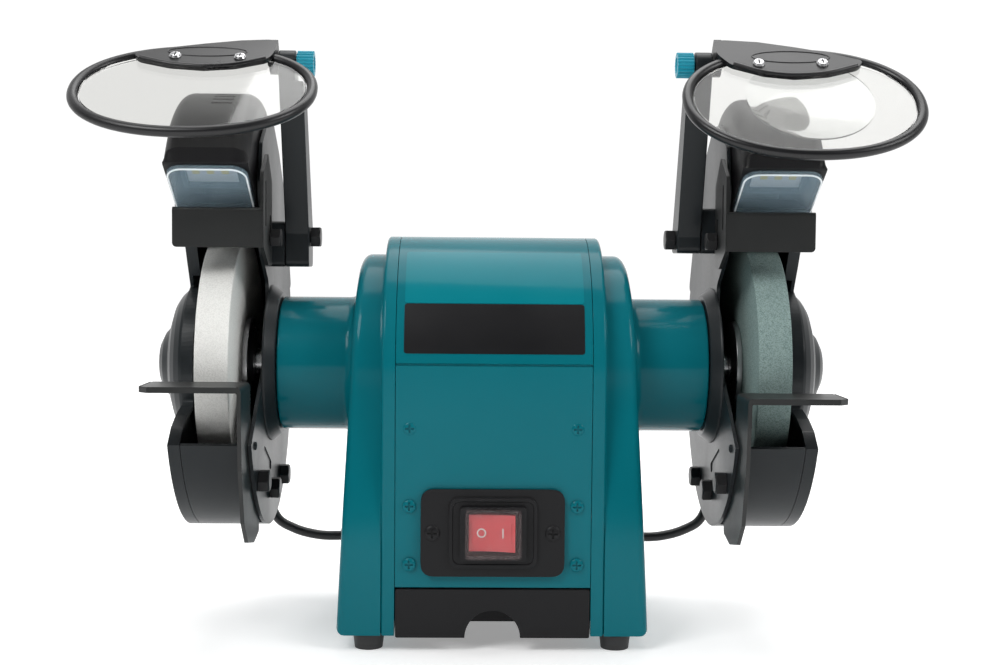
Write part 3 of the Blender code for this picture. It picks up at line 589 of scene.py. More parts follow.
def rocked(shape):
    """The shape turned with the rocker about its pin."""
    points, faces = shape
    turn = radians(-8.0)
    made = []
    pin_y = -76.5
    for x, y, z in points:
        back = y - pin_y
        made.append((x * cos(turn) - back * sin(turn), pin_y + x * sin(turn) + back * cos(turn), z))
    return made, faces


def make_switch():
    rim = plate(-24.6, 24.6, 46.6, 85.8, 6.0, -77.0, -80.2)
    groove = plate(-22.6, 22.6, 48.6, 83.8, 4.6, -79.6, -81.0)
    opening = plate(-17.4, 17.4, 52.0, 80.6, 2.0, -70.0, -84.0)
    piece(
        "switch_plate_moulding",
        plate(-40.5, 40.0, 41.2, 90.4, 7.5, -76.0, -77.9),
        moulded,
        "housing",
        ("switch_plate",),
        adds=[rim],
        cuts=[groove, opening],
        bevel=0.45,
    )
    piece(
        "switch_bezel",
        plate(-17.0, 17.0, 52.4, 80.2, 1.6, -50.0, -80.2),
        moulded,
        "housing",
        ("switch_body",),
        adds=[plate(-18.5, 18.5, 51.0, 81.2, 2.5, -79.9, -83.0)],
        cuts=[plate(-14.2, 14.2, 54.0, 78.6, 1.0, -68.5, -90.0)],
        bevel=0.4,
    )
    dished = [(x, -80.2 - 1.6 * (x / 13) ** 2) for x in [-13 + 26 * i / 24 for i in range(25)]]
    outline = [*dished, (12.4, -75.5), (4, -73.2), (-4, -73.2), (-12.4, -75.5)]
    ribs = []
    for x in (-12.0, -10.9, 10.9, 12.0):
        y = -80.2 - 1.6 * (x / 13) ** 2
        ribs.append(rocked(plate(x - 0.28, x + 0.28, 60.5, 72.1, 0.2, y + 0.5, y - 0.35)))
    piece(
        "rocker_cap",
        rocked(prism("Z", outline, 56.0, 76.6)),
        glossy_red,
        "switch_rocker",
        ("switch_rocker",),
        adds=ribs,
        bevel=0.35,
        edge=30.0,
    )
    ring = lathe("Y", [(-80.6, 1.9), (-81.02, 1.9), (-81.02, 2.6), (-80.6, 2.6)], -6.0, 66.3, 40, True)
    piece("rocker_off_mark", rocked(ring), mark_white, "switch_rocker")
    bar = plate(5.7, 6.4, 63.6, 69.0, 0.2, -80.3, -80.85)
    piece("rocker_on_mark", rocked(bar), mark_white, "switch_rocker")
    piece(
        "dust_boot",
        plate(-15.6, 15.6, 52.6, 80.0, 2.5, -83.3, -88.2),
        boot_clear,
        "housing",
        ("switch_boot",),
        cuts=[plate(-14.8, 14.8, 53.4, 79.2, 2.0, -80.0, -87.4)],
        bevel=0.5,
    )
    for number, x in enumerate((-34.0, 33.4)):
        make_pan_screw(f"switch_screw_{number}", x, 65.8, moulded, 4.4, 2.2, -77.7, -1, 1.0)


make_switch()


# Quench tray: a black drawer of moulded plastic that slides out under the body, open at the top
# behind its front, with a scoop under the front for a fingertip.


def make_tray():
    front = plate(-54.6, 54.6, 6.0, 33.5, 1.2, -72.0, -75.6)
    shell = prism("Y", block(-52.0, 52.0, 9.6, 31.5, 2.0), -73.0, 38.0)
    tray = skin("tray_room", prism("Y", block(-50.0, 50.0, 11.6, 50.0, 2.0), -70.0, 36.0), 1)
    hump = skin("tray_hump", rod("Y", -80.0, -49.0, 18.0, 0.0, 6.0, 72), 1)
    less = tray.modifiers.new("hump", "BOOLEAN")
    less.operation = "DIFFERENCE"
    less.solver = "EXACT"
    less.object = hump
    settle(tray)
    corners = [tuple(vertex.co * 1000 - Vector(OFFSET)) for vertex in tray.data.vertices]
    room = (corners, [tuple(face.vertices) for face in tray.data.polygons])
    bpy.data.objects.remove(tray)
    bpy.data.objects.remove(hump)
    scoop = rod("Y", -80.0, -52.0, 15.6, 0.0, 6.0, 72)
    piece(
        "tray_drawer",
        front,
        moulded,
        "quench_tray",
        ("quench_tray",),
        adds=[shell],
        cuts=[room, scoop],
        bevel=0.6,
    )


make_tray()


# Spindle: a turned steel shaft with its rotor, and on each end a 150 mm wheel between two
# flanges under a hex nut. The left wheel is white aluminium oxide, the right one green-grey;
# both are bonded grit, open and pitted, the pits drawn as painted shade, with a fine edge where
# they were dressed.


def abrasive(name, light, dark, pit_shade):
    """Bonded grit: grains of two tones, painted shade in the pits between them, and a bump to match."""
    made = finish_of(name, light, 0.85, 0.0, 0.05, 0.04, 1500.0, 0.05, cloud=20.0)
    tree = made.node_tree
    shader = tree.nodes["Principled BSDF"].inputs
    place = add_node(tree, "TexCoord").outputs["Object"]
    grains = add_node(tree, "TexVoronoi", Scale=2300.0, Vector=place).outputs
    apart = add_node(tree, "SeparateColor", Color=grains["Color"])
    tone = add_node(tree, "ValToRGB", Fac=apart.outputs["Red"])
    for stop, level, colour in zip(tone.color_ramp.elements, (0.2, 0.55), (dark, light)):
        stop.position = level
        stop.color = (*colour, 1.0)
    pits = add_node(tree, "TexNoise", Scale=1100.0, Detail=4.0, Vector=place).outputs["Fac"]
    pit_shade_mask = add_node(tree, "MapRange", From_Min=0.56, From_Max=0.68, To_Max=pit_shade, Value=pits)
    # Painted shade: the pits are darkened to a shaded tone of the dark grain, with no hollow cut in the
    # surface.
    hollow = (*[c * 0.55 for c in dark], 1.0)
    share = pit_shade_mask.outputs["Result"]
    both = add_node(tree, "Mix", OF_COLOURS, B=hollow, Factor=share, A=tone.outputs["Color"])
    feed(tree, shader["Base Color"], both.outputs["Result"])
    rough = add_node(tree, "Bump", Strength=0.8, Distance=0.00016, Height=grains["Distance"])
    feed(tree, shader["Normal"], rough.outputs["Normal"])
    return made


white_grit = abrasive("white_grit", (0.84, 0.84, 0.81), (0.74, 0.74, 0.71), 0.12)
grey_grit = abrasive("green_grey_grit", (0.235, 0.32, 0.305), (0.14, 0.21, 0.2), 0.5)


def make_spindle():
    half = [(108.0, 12.0), (108.0, 7.2), (128.0, 7.2), (128.0, 8.6), (142.2, 8.6), (142.2, 6.0)]
    for turn in range(10):
        level = 171.0 + 1.45 * turn
        half += [(level, 5.95), (level + 0.7, 5.35), (level + 1.4, 5.95)]
    half += [(185.6, 5.6), (186.0, 5.0)]
    profile = [(-x, r) for x, r in reversed(half)] + half
    shaft = lathe("X", profile, count=72)
    piece("turned_shaft", shaft, steel, "spindle", ("spindle_shaft",))
    for side, tag, grit, slot in (
        (-1, "left", white_grit, "white_abrasive"),
        (1, "right", grey_grit, "grey_abrasive"),
    ):
        profile = [(148.0, 6.35), (148.0, 75.0), (167.0, 75.0), (167.0, 6.35)]
        wheel = lathe("X", soften(profile, 0.8, 4), count=200, closed=True)
        piece(f"{tag}_grit_wheel", wheel, grit, "spindle", (f"{tag}_wheel",), side)
        profile = [(142.5, 6.3), (142.5, 16), (144.5, 24), (144.5, 27), (147.7, 27), (147.7, 22)]
        profile += [(146.6, 20), (146.6, 6.3)]
        outer = [(168.4, 6.3), (168.4, 20), (167.3, 22), (167.3, 27), (170.2, 27), (170.2, 24)]
        outer += [(172.2, 16), (172.2, 6.3)]
        for where, kind, profile in (("back", "inner", profile), ("front", "outer", outer)):
            flange = lathe("X", soften(profile, 0.4, 3), count=96, closed=True)
            nodes = (f"{tag}_{kind}_flange",)
            piece(f"{tag}_{where}_flange", flange, steel, "spindle", nodes, side)
        nut = rod("X", 172.5, 182.5, 10.8, count=6)
        hole = rod("X", 171.0, 184.0, 6.3)
        nodes = (f"{tag}_wheel_nut",)
        piece(f"{tag}_hex_nut", nut, steel, "spindle", nodes, side, cuts=[hole], bevel=0.5)


make_spindle()


# Wheel guards: pressed and welded steel in slate paint, open at the front, each with a bolted
# cover whose middle is domed over the nut. Hex bolts on the motor side hold the tool rest, the
# spark deflector and the shield arm.

dark_hardware = finish_of(
    "black_hardware", (0.012, 0.012, 0.013), 0.34, 0.3, 0.1, 0.2, 900.0, 0.02, sheen=0.35
)
ARM_LOW_Z = {-1: 213.0, 1: 223.0}
ARM_X0, ARM_X1 = 110.0, 124.0
GUARD_X, GUARD_RIM_X, GUARD_RADIUS = 133.0, 172.0, 97.0
COVER_X, COVER_FACE_X = 172.3, 179.0
SHEET = 2.0


def guard_outline(radius, front, low=204.0, high=478.0):
    """Round the bottom, the back and the top, then down the given front edge."""
    return arc(0, SHAFT_Z, radius, low, high, 121) + front


def hex_bolt(name, side, y, z, seat, head_high, across, tip, shank, body, nodes=()):
    """A hex bolt along X with its washer; the head stands from its seat towards the motor."""
    top = seat - head_high
    head = rod("X", top, seat, across, y, z, 6)
    profile = ((-3.0, 1.6), (-3.0, 0.4), (-0.01, 0.80), (1.3, 1.08), (1.3, 1.6))
    chamfer = lathe("X", [(top + rise, across * wide) for rise, wide in profile], y, z, 48, True)
    adds = [rod("X", seat - 1.0, tip, shank, y, z)]
    piece(name, head, dark_hardware, body, nodes, side, adds=adds, cuts=[chamfer], bevel=0.2)


def make_guard(tag, side):
    edge = [(-46, 240.4), (-46, 221), (-18, 204), (-18, 172), (-40, 150), (-64, 134), (-88.6, 115.5)]
    edge = soften(edge, 7, 6, False)
    shell = prism("X", guard_outline(GUARD_RADIUS, edge[1:-1]), GUARD_X, GUARD_RIM_X)
    beyond = [(-70, 300), (-160, 240), (-160, 90), (-110, 102)]
    room = prism("X", guard_outline(GUARD_RADIUS - SHEET, beyond), GUARD_X + SHEET, 177.0)
    notch = [(-130, 124), (-130, 100), (-108, 76), (-80, 56), (-30, 56), (-30, 110), (-78, 120)]
    shoulder = [(-46, 228), (-52, 262), (-44, 284), (-20, 298), (4, 299), (30, 283), (52, 264)]
    shoulder += [(76, 230), (92, 200), (80, 195), (30, 235)]
    low = ARM_LOW_Z[side]
    boss = lathe("X", soften([(126.3, 10), (126.3, 42.5), (133.5, 48), (133.5, 10)], 1.2, 4), count=120)
    seat = prism("X", block(-12, 14, low, low + 27, 3), ARM_X1 + 0.5, GUARD_X + 0.5)
    slit = Vector((-22.0, 99.7))
    turn = radians(-24.0)
    reach = Vector((cos(turn), sin(turn)))
    across = Vector((-reach.y, reach.x))
    slot_ends = [slit - reach * 17 - across * 3, slit + reach * 17 - across * 3]
    slot_ends += [slit + reach * 17 + across * 3, slit - reach * 17 + across * 3]
    recess = prism("X", soften([tuple(p) for p in slot_ends], 2.9, 5), 132.0, 133.7)
    piece(
        f"{tag}_guard_shell",
        shell,
        slate,
        "housing",
        (f"{tag}_guard",),
        side,
        adds=[boss, seat, prism("X", soften(shoulder, 4, 5), GUARD_X, GUARD_X + SHEET)],
        cuts=[
            room,
            prism("X", notch, GUARD_X + SHEET, 138.1),
            rod("X", 120.0, 140.0, 11.0),
            rod("X", 110.0, 131.0, 3.3, 0.0, 231.0),
            rod("X", 128.0, 140.0, 3.3, -60.0, 92.0),
            rod("X", 128.0, 140.0, 2.8, -36.0, 230.0),
            recess,
        ],
        bevel=0.5,
    )
    mouth = [(-45.5, 240.7), (-45.5, 240), (-28, 214), *arc(0, SHAFT_Z, 49.5, 112, 203, 30)]
    mouth += [(-49, 133), (-64, 129.5), (-78, 124), (-88.6, 115.5)]
    rim = guard_outline(GUARD_RADIUS, soften(mouth, 5, 6, False)[1:-1])
    dome = [(178, 46), (179, 45.5), (181.5, 44.4), (185, 41), (188, 36.6), (191, 27.5), (192, 22.6)]
    dome += [(196, 18.3), (199, 12.3), (200, 5)]
    hollow = [(170.3, 44), (178, 43.5), (180, 42.4), (183, 39), (186, 34.4), (189, 25.6)]
    hollow += [(190, 20.5), (194, 16.3), (197, 10.3), (198.3, 4)]
    inner = [(-42.4, 238), (-25.6, 212.8), *arc(0, SHAFT_Z, 47.1, 114, 200, 30)]
    inner += [(-48, 130.6), (-63, 127), (-77, 121.6)]
    pocket = arc(0, SHAFT_Z, GUARD_RADIUS - SHEET, 205.6, 476.8, 121) + inner
    piece(
        f"{tag}_domed_cover",
        prism("X", rim, COVER_X, COVER_FACE_X),
        slate,
        "housing",
        (f"{tag}_guard_cover",),
        side,
        adds=[lathe("X", soften(dome, 2.5, 5, False), count=120)],
        cuts=[prism("X", pocket, COVER_X - 2, COVER_FACE_X - SHEET), lathe("X", hollow, count=96)],
        bevel=0.7,
    )
    bolts = (
        ("rest", -60, 92, 132.8, 6.4, 6.6, 139.0, 3.0, (f"{tag}_rest_bolt",)),
        ("deflector", -36, 230, 129.2, 6.2, 5.6, 136.0, 2.5, (f"{tag}_deflector_bolt",)),
        ("arm", 0, 231, 109.6, 5.8, 6.6, 129.0, 3.0, (f"{tag}_arm_bolt",)),
        ("guard_low", -8, 80, 132.9, 5.8, 6.6, 137.5, 3.0, ()),
        ("guard_back", 38, 81.5, 132.9, 5.8, 6.6, 137.5, 3.0, ()),
    )
    for name, y, z, seat_x, high, wide, tip, shank, nodes in bolts:
        hex_bolt(f"{tag}_{name}_hex", side, y, z, seat_x, high, wide, tip, shank, "housing", nodes)
    for number, turn in enumerate((232.0, 318.0, 78.0)):
        y, z = 89.0 * cos(radians(turn)), SHAFT_Z + 89.0 * sin(radians(turn))
        head = lathe("X", [(178.4, 3.6), (179.9, 3.6), (180.9, 3.0), (181.2, 1.6)], y, z, 40)
        drive = rod("X", 179.9, 182.0, 1.7, y, z, 6)
        piece(
            f"{tag}_cover_screw_{number}", head, dark_hardware, "housing", side=side, cuts=[drive], bevel=0.12
        )
    rivet = lathe("X", [(133.3, 2.4), (132.3, 2.3), (131.8, 1.5), (131.6, 0.6)], -75.0, 113.7, 32)
    piece(f"{tag}_guard_rivet", rivet, slate, "housing", side=side)


make_guard("left", -1)
make_guard("right", 1)


# Lamps: a smooth moulded housing saddled on each guard, with a bluish clear lens that faces down
# and forwards, a white board with three LEDs behind it, and vent slits in the top. A thin pale
# bead round the lens face is a painted highlight where its edge catches the light.

lens_clear = film_of("lamp_lens", (0.30, 0.42, 0.50), 0.05, 0.28)
# Painted highlight: this pale colour stands in for light caught by the clear lens's edge.
lens_edge_highlight = finish_of("lens_edge_highlight", (0.80, 0.84, 0.86), 0.2, 0.0, 0.04, 0.04, 700.0, 0.004, coat=0.4)
board_white = finish_of("lamp_board", (0.62, 0.64, 0.66), 0.4, 0.0, 0.05, 0.05, 900.0, 0.01)
phosphor = finish_of("led_phosphor", (0.75, 0.6, 0.12), 0.35, 0.0, 0.05, 0.1, 900.0, 0.01)
bezel_grey = finish_of("lamp_inner", (0.024, 0.04, 0.056), 0.35, 0.0, 0.05, 0.1, 900.0, 0.01)


def hose(path, radius, count, closed=False):
    """A round bar along the path."""
    rings = []
    total = len(path)
    across = Vector((0.31, 0.22, 0.92)).normalized()
    for i, point in enumerate(path):
        if closed:
            heading = path[(i + 1) % total] - path[i - 1]
        else:
            heading = path[min(i + 1, total - 1)] - path[max(i - 1, 0)]
        heading.normalize()
        across = (across - heading * across.dot(heading)).normalized()
        other = heading.cross(across)
        spin = [2 * pi * k / count for k in range(count)]
        rings.append([tuple(point + (across * cos(t) + other * sin(t)) * radius) for t in spin])
    return loft(rings, closed)


def make_lamp(tag, side):
    x0, x1, edge = 136.0, 183.0, 9.0
    under = arc(0, SHAFT_Z, 97.4, 31, 117, 61)
    route = [(-80, 278.5), (-66, 294), (-45, 307), (-22, 313), (4, 308), (30, 292), (54, 266)]
    route += [(76, 232), (93, 208)]
    over = [(p[0], p[1]) for p in smooth_path([(y, z, 0) for y, z in route], 7)]

    def section(x, drop):
        top = []
        for y, z in over:
            share = 1 - drop * min(1.0, hypot(y - 93, z - 208) / 22) / hypot(y, z - SHAFT_Z)
            top.append((y * share, SHAFT_Z + (z - SHAFT_Z) * share))
        return [(x, y, z) for y, z in [*under, (-45.0, 248.8), (-79.6, 269.0), (-80.4, 270.2), *top]]

    steps = [radians(11.25 * k) for k in range(9)]
    rings = [section(x0 + edge * (1 - cos(t)), edge * (1 - sin(t))) for t in steps]
    rings += [section(x1 - edge * (1 - cos(t)), edge * (1 - sin(t))) for t in reversed(steps)]
    room = [(-58, 243), (-43.5, 250.2), (-10, 256), (26, 252), (34, 258), (24, 274), (2, 293)]
    room += [(-22, 299), (-44, 293), (-64, 280), (-73.5, 269.5), (-80, 262)]
    slits = []
    for k in range(4):
        y = -50.0 + 5.6 * k
        slits.append(prism("X", block(y, y + 2.0, 296 + k, 320), 149.5, 161.5))
    nodes = (f"{tag}_lamp_housing",)
    piece(
        f"{tag}_lamp_shell",
        loft(rings),
        moulded,
        "housing",
        nodes,
        side,
        cuts=[prism("X", room, x0 + 3, x1 - 3), *slits],
        bevel=0.5,
        edge=33.0,
    )
    foot = Vector((-46.0, 249.4))
    slant = Vector((-34.0, 19.8))
    out = Vector((-slant.y, slant.x)).normalized()

    def slab(low, high, start, end):
        first, last = foot + slant * start, foot + slant * end
        corners = (first + out * low, first + out * high, last + out * high, last + out * low)
        return [tuple(corner) for corner in corners]

    nodes = (f"{tag}_lamp_lens",)
    length = slant.length
    face = [(x0 + 1, 0), *arc(x0 + 10, length - 9, 9, 180, 90, 12), *arc(x1 - 10, length - 9, 9, 90, 0, 12)]
    face.append((x1 - 1, 0))
    levels = []
    for lift in (0.3, 3.0):
        spots = [(x, foot + slant * (reach / length) + out * lift) for x, reach in face]
        levels.append([(x, spot.x, spot.y) for x, spot in spots])
    piece(f"{tag}_lens", loft(levels), lens_clear, "housing", nodes, side, bevel=0.5)
    # A thin pale bead just inside the lens edge: a painted highlight of that edge.
    highlight_path = []
    for x, reach in face:
        inward = Vector((159.5 - x, length / 2 - reach)).normalized() * 0.9
        spot = foot + slant * ((reach + inward.y) / length) + out * 2.9
        highlight_path.append(Vector((x + inward.x, spot.x, spot.y)))
    piece(f"{tag}_lens_edge_highlight", hose(highlight_path, 0.55, 10), lens_edge_highlight, "housing", side=side)
    board = prism("X", slab(-10.6, -9.0, 0.2, 0.8), x0 + 9, x1 - 9)
    piece(f"{tag}_lamp_board", board, board_white, "housing", side=side, bevel=0.3)
    surround = prism("X", slab(-14.0, -6.8, 0.12, 0.88), x0 + 6, x1 - 6)
    well = prism("X", slab(-9.0, -4.0, 0.2, 0.8), x0 + 9, x1 - 9)
    back = prism("X", slab(-16.0, -10.7, 0.16, 0.84), x0 + 8, x1 - 8)
    seat = prism("X", slab(-10.8, -8.8, 0.19, 0.81), x0 + 8.7, x1 - 8.7)
    cuts = [well, back, seat]
    piece(f"{tag}_lamp_tray", surround, bezel_grey, "housing", side=side, cuts=cuts, bevel=0.3)
    for number in range(3):
        x = x0 + 14.2 + 8.2 * number
        chip = prism("X", slab(-9.0, -8.1, 0.44, 0.56), x, x + 4.0)
        piece(f"{tag}_led_{number}", chip, phosphor, "housing", side=side, bevel=0.25)
    collar = [(201.2, 3.9), (201.2, 5.0), (206.6, 5.6), (206.6, 3.9)]
    grommet = lathe("Z", soften(collar, 0.4, 3), 152, 89.9, 40, True)
    piece(f"{tag}_lamp_grommet", grommet, rubber, "housing", side=side)


make_lamp("left", -1)
make_lamp("right", 1)


# Tool rests: each a steel plate bent to a shelf and a leg, painted satin black, with its
# cut edges left rough. The leg's slot slides on the guard's bolt. The left shelf sits higher.

satin = finish_of(
    "satin_black", (0.012, 0.013, 0.013), 0.36, 0.1, 0.08, 0.2, 700.0, 0.03, dust=0.03, sheen=0.38
)
REST_Z = {-1: 149.5, 1: 145.2}


def make_rest(tag, side):
    top = REST_Z[side]
    x0, x1 = 135.3, 190.2
    under = top - 3.2
    bend = soften([(x0, top - 16), (x0, top), (x1, top), (x1, under)], 3.0, 8, False)[:-1]
    bend[-1] = (x1, top)
    bend += [(x1, under), *soften([(x1, under), (x0 + 2.2, under), (x0 + 2.2, top - 16)], 1.1, 6, False)[1:]]
    shelf = prism("Y", [(x, z) for x, z in bend], -112.0, -77.0)
    leg = [(-112, top - 9), (-108, 104), (-98, 74), (-84, 61), (-62, 57), (-42, 60), (-40, 106)]
    leg += [(-66, 116), (-77, 132), (-77, top - 9)]
    corner = [(x1 + 1, -113), (x1 - 6, -113), (x1 + 1, -106)]
    slot = soften([(-65.1, 88.7), (-44.4, 88.7), (-44.4, 95.3), (-65.1, 95.3)], 3.2, 6)
    piece(
        f"{tag}_rest_plate",
        shelf,
        satin,
        f"{tag}_rest",
        (f"{tag}_tool_rest",),
        side,
        adds=[prism("X", soften(leg, 2.5, 5), x0, x0 + 2.2)],
        cuts=[prism("X", slot, x0 - 2, x0 + 4), prism("Z", corner, 120, 170)],
        bevel=0.3,
    )


make_rest("left", -1)
make_rest("right", 1)


# Spark deflectors: a bent and slotted steel plate across the top of each guard's mouth, which
# slides down on its bolt as the wheel wears.


def make_deflector(tag, side):
    x0, x1 = 129.6, 180.5
    outer = soften([(-66, 224), (-66, 246.5), (-60, 246.5)], 2.2, 6, False)
    inner = soften([(-60, 244.5), (-64, 244.5), (-64, 224)], 0.8, 4, False)
    face = prism("X", outer + inner, x0 + 0.6, x1)
    leg = [(-65.7, 224.3), (-44, 214), (-29, 214), (-29, 262), (-46, 278), (-65.7, 266)]
    slot = soften([(-38.8, 226.9), (-33.2, 226.9), (-33.2, 243.1), (-38.8, 243.1)], 2.7, 6)
    high_slot = soften([(-57.5, 236), (-53.5, 236), (-53.5, 262), (-57.5, 262)], 1.9, 6)
    corner = [(x1 + 1, 223), (x1 + 1, 226.5), *arc(x1 - 2.5, 226.5, 2.5, 0, -90, 8), (x1 - 2.5, 223)]
    corner = prism("Y", corner, -70, -62)
    piece(
        f"{tag}_deflector_plate",
        face,
        satin,
        f"{tag}_deflector",
        (f"{tag}_spark_deflector",),
        side,
        adds=[prism("X", soften(leg, 3.0, 5), x0, x0 + 2)],
        cuts=[prism("X", slot, x0 - 2, x0 + 4), prism("X", high_slot, x0 - 2, x0 + 4), corner],
        bevel=0.3,
    )


make_deflector("left", -1)
make_deflector("right", 1)


# Eye shields: a channel arm on each guard, and on its end a tilting frame with a clear pane,
# clamped by a bracket with two screws and held by a ribbed knob. The right one also has a
# magnifier. Everything on a shield is drawn flat as x, v down the slope and w off the pivot.

PIVOT = {-1: (-40.0, 329.5), 1: (-40.0, 331.0)}
SHIELD_X = {-1: 165.1, 1: 169.1}
SHIELD_TILT = {-1: 34.5, 1: 42.4}
SHIELD_LEVEL = {-1: 8.6, 1: 10.4}
BEAD = 3.0
ridged_teal = finish_of("teal_knob", (0.003, 0.26, 0.36), 0.33, 0.0, 0.06, 0.06, 1200.0, 0.01)
frame_black = finish_of(
    "shield_black", (0.006, 0.006, 0.007), 0.3, 0.0, 0.07, 0.12, 1300.0, 0.012, dust=0.01, sheen=0.4
)
pane_clear = clear_of("shield_pane", (0.72, 0.72, 0.70), 0.02, 1.25, 0.015)
magnifier_clear = clear_of("magnifier", (0.97, 0.98, 0.98), 0.01, 1.5, 0.005)


def make_arm(tag, side):
    x0, x1 = ARM_X0, ARM_X1
    y1, z1 = PIVOT[side]
    low = ARM_LOW_Z[side]
    tip = arc(y1, z1, 7.5, 20, 200, 24)
    base = [tip[-1], (-12, 233), (-12, low), (12, low), (12, 235), tip[0]]
    outline = tip + soften(base, 4.0, 6, False)[1:-1]
    lean = radians(21.6)
    start = Vector((-9.8, 233.0))
    end = start + Vector((-sin(lean), cos(lean))) * 82
    channel = [(-9.8, low + 3), tuple(start), tuple(end), (end.x + 40, end.y + 10), (30, low + 3)]
    piece(
        f"{tag}_channel_arm",
        prism("X", outline, x0, x1),
        slate,
        f"{tag}_arm",
        (f"{tag}_shield_arm",),
        side,
        cuts=[
            prism("X", channel, x0 + 2.2, x1 - 2.2),
            prism("X", block(-60, -20, z1 - 11, z1 + 13), x0 - 2, 114.4),
            rod("X", x0 - 3, x1 + 3, 3.3, 0.0, 231.0),
            rod("X", x0 - 3, x1 + 3, 3.0, y1, z1),
        ],
        bevel=0.7,
    )


def on_shield(shape, side):
    points, faces = shape
    tilt = radians(SHIELD_TILT[side])
    y0, z0 = PIVOT[side]
    made = []
    for x, v, w in points:
        made.append((x, y0 - v * cos(tilt) - w * sin(tilt), z0 - v * sin(tilt) + w * cos(tilt)))
    return made, faces


def oval(side, inset, count):
    outline = []
    for i in range(count):
        t = 2 * pi * i / count
        c = abs(cos(t)) ** 0.94 * (1 if cos(t) > 0 else -1)
        s = abs(sin(t)) ** 0.94 * (1 if sin(t) > 0 else -1)
        outline.append((SHIELD_X[side] + (64.4 - inset) * c, 48.5 + (45.5 - inset) * s))
    return outline


def make_shield(tag, side):
    level = SHIELD_LEVEL[side]
    mid = SHIELD_X[side]
    body = f"{tag}_shield"
    near = ARM_X1 + 0.6
    rim = [Vector((x, v, level)) for x, v in oval(side, 0, 160)]
    clamp = [(mid + 38, 14), (mid + 20, 7), (mid, 1.5), (mid - 20, -3), (near, -5), (near, 9)]
    clamp += [(mid - 38, 19), (mid - 20, 27), (mid - 3, 29.5), (mid + 16, 27), (mid + 34, 20)]
    bracket = prism("Z", soften(clamp, 9.0, 8), level + 1.4, level + 4.2)
    y0, z0 = PIVOT[side]
    ear_outline = arc(0, 0, 7.2, 180, 360, 24) + [(7.2, level + 3), (-6.6, level + 3)]
    ear = loft([[(x, v, w) for v, w in ear_outline] for x in (near, ARM_X1 + 5)])
    lip = [(mid + 33.5, 18.4), (mid + 16, 25.4), (mid - 3, 27.9), (mid - 20, 25.4), (mid - 36, 18.0)]
    lip_path = [Vector((x, v, level + 3.6)) for x, v, _ in smooth_path([(x, v, 0) for x, v in lip], 8)]
    emboss = []
    for i in range(72):
        t = 2 * pi * i / 72
        emboss.append(Vector((mid - 3 + 22.0 * cos(t), 11.4 + 5.4 * sin(t), level + 4.15)))
    piece(
        f"{tag}_frame_moulding",
        on_shield(hose(rim, BEAD, 20, True), side),
        frame_black,
        body,
        (f"{tag}_shield_frame",),
        side,
        adds=[
            on_shield(bracket, side),
            on_shield(ear, side),
            on_shield(hose(lip_path, 1.5, 14), side),
            on_shield(hose(emboss, 0.42, 10, True), side),
        ],
        cuts=[rod("X", 118, 132, 3.1, y0, z0)],
        bevel=0.35,
        edge=42.0,
    )
    for number, (x, v) in enumerate(((mid - 22.0, 18.4), (mid + 14.0, 17.6))):
        profile = [(level + 3.8, 3.4), (level + 5.0, 3.4), (level + 6.0, 2.6), (level + 6.2, 1.0)]
        head = on_shield(lathe("Z", profile, x, v, 40), side)
        slots = []
        for wide, tall in ((0.8, 4.2), (4.2, 0.8)):
            outline = block(x - wide / 2, x + wide / 2, v - tall / 2, v + tall / 2)
            slots.append(on_shield(prism("Z", outline, level + 5.1, level + 8), side))
        piece(f"{tag}_clamp_screw_{number}", head, steel, body, side=side, cuts=slots, bevel=0.12)
    pane = on_shield(prism("Z", oval(side, BEAD + 0.35, 160), level - 1.0, level + 1.0), side)
    nodes = (f"{tag}_shield_pane",)
    piece(f"{tag}_pane", pane, pane_clear, body, nodes, side, bevel=0.25)
    ribs = []
    for i in range(88):
        t = 2 * pi * i / 88
        around = 7.3 if i % 4 in (0, 1) else 6.6
        ribs.append((y0 + around * cos(t), z0 + around * sin(t)))
    piece(
        f"{tag}_ribbed_knob",
        prism("X", ribs, 104.0, 113.4),
        ridged_teal,
        f"{tag}_knob",
        (f"{tag}_shield_knob",),
        side,
        adds=[rod("X", 112.8, 114.0, 5.6, y0, z0, 48)],
        cuts=[lathe("X", [(102.0, 4.6), (104.7, 4.6), (104.9, 3.8)], y0, z0, 48)],
        bevel=0.35,
    )
    stud = [(113.8, 2.7), (115.5, 2.7)]
    for turn in range(9):
        along_stud = 115.8 + 1.5 * turn
        stud += [(along_stud, 2.7), (along_stud + 0.75, 2.35)]
    stud += [(129.9, 2.7), (130.5, 2.2)]
    piece(f"{tag}_knob_stud", lathe("X", stud, y0, z0, 40), dark_hardware, f"{tag}_knob", side=side)
    if side == 1:
        rings = (1, 4, 8, 12, 16, 20, 24, 28, 32, 35.2)
        profile = [(level - 2.3 - 2.8 * (1 - (r / 35.2) ** 2), r) for r in rings]
        profile += [(level - 2.3, 35.5), (level - 1.3, 35.5)]
        lens = on_shield(lathe("Z", profile, mid + 4, 44.0, 128), side)
        piece("ground_magnifier", lens, magnifier_clear, body, ("right_magnifier",), side)


for side, tag in ((-1, "left"), (1, "right")):
    make_arm(tag, side)
    make_shield(tag, side)


# Setting: a pale plain floor, a near-white room and three large soft lights.


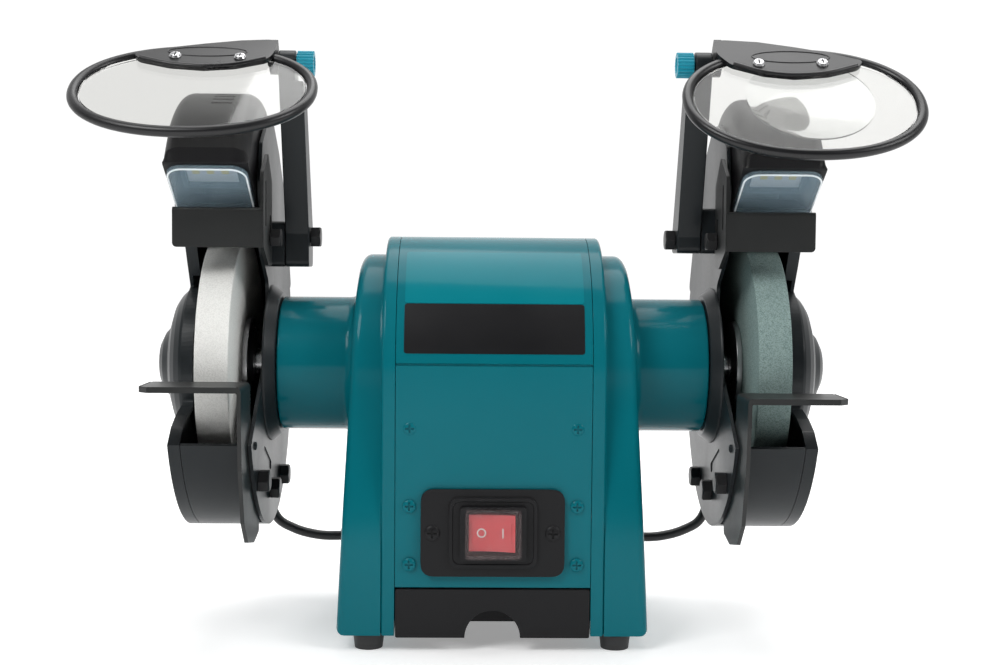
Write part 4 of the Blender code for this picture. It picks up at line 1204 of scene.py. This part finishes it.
def make_stage():
    world = bpy.data.worlds.new("room")
    bpy.context.scene.world = world
    world.use_nodes = True
    tree = world.node_tree
    place = add_node(tree, "TexCoord").outputs["Generated"]
    depth = add_node(tree, "SeparateXYZ", Vector=place).outputs["Y"]
    fade = add_node(tree, "MapRange", From_Min=-0.25, From_Max=0.45, To_Min=0.07, To_Max=1.04, Value=depth)
    sky = tree.nodes["Background"].inputs
    sky["Color"].default_value = (1.0, 1.0, 1.0, 1.0)
    feed(tree, sky["Strength"], fade.outputs["Result"])
    bpy.context.scene.view_settings.view_transform = "Standard"
    mesh = bpy.data.meshes.new("floor")
    reach = 6.0
    corners = [(-reach, -reach, 0), (reach, -reach, 0), (reach, reach, 0), (-reach, reach, 0)]
    mesh.from_pydata(corners, [], [(0, 1, 2, 3)])
    floor = bpy.data.objects.new("floor", mesh)
    bpy.context.scene.collection.objects.link(floor)
    paper = finish_of("pale_floor", (0.88, 0.88, 0.88), 0.6, 0.0, 0.05, 0.01, 60.0, 0.0)
    tree = paper.node_tree
    shader = tree.nodes["Principled BSDF"].inputs
    shader["Emission Color"].default_value = (1.0, 1.0, 1.0, 1.0)
    place = add_node(tree, "TexCoord").outputs["Object"]
    depth = add_node(tree, "SeparateXYZ", Vector=place).outputs["Y"]
    lift = add_node(tree, "MapRange", From_Min=0.25, From_Max=1.1, To_Min=0.3, To_Max=0.62, Value=depth)
    feed(tree, shader["Emission Strength"], lift.outputs["Result"])
    mesh.materials.append(paper)
    lights = (
        ("key", (-0.8, -1.0, 1.25), 0.7, 15.0),
        ("fill", (1.15, -0.75, 0.95), 0.6, 8.0),
        ("top", (0.1, 0.2, 1.4), 1.0, 11.0),
    )
    for name, place, size, power in lights:
        lamp = bpy.data.lights.new(name, "AREA")
        lamp.size = size
        lamp.energy = power
        holder = bpy.data.objects.new(name, lamp)
        holder.location = place
        heading = Vector((0.0, 0.0, 0.15)) - Vector(place)
        holder.rotation_euler = heading.to_track_quat("-Z", "Y").to_euler()
        bpy.context.scene.collection.objects.link(holder)


make_stage()
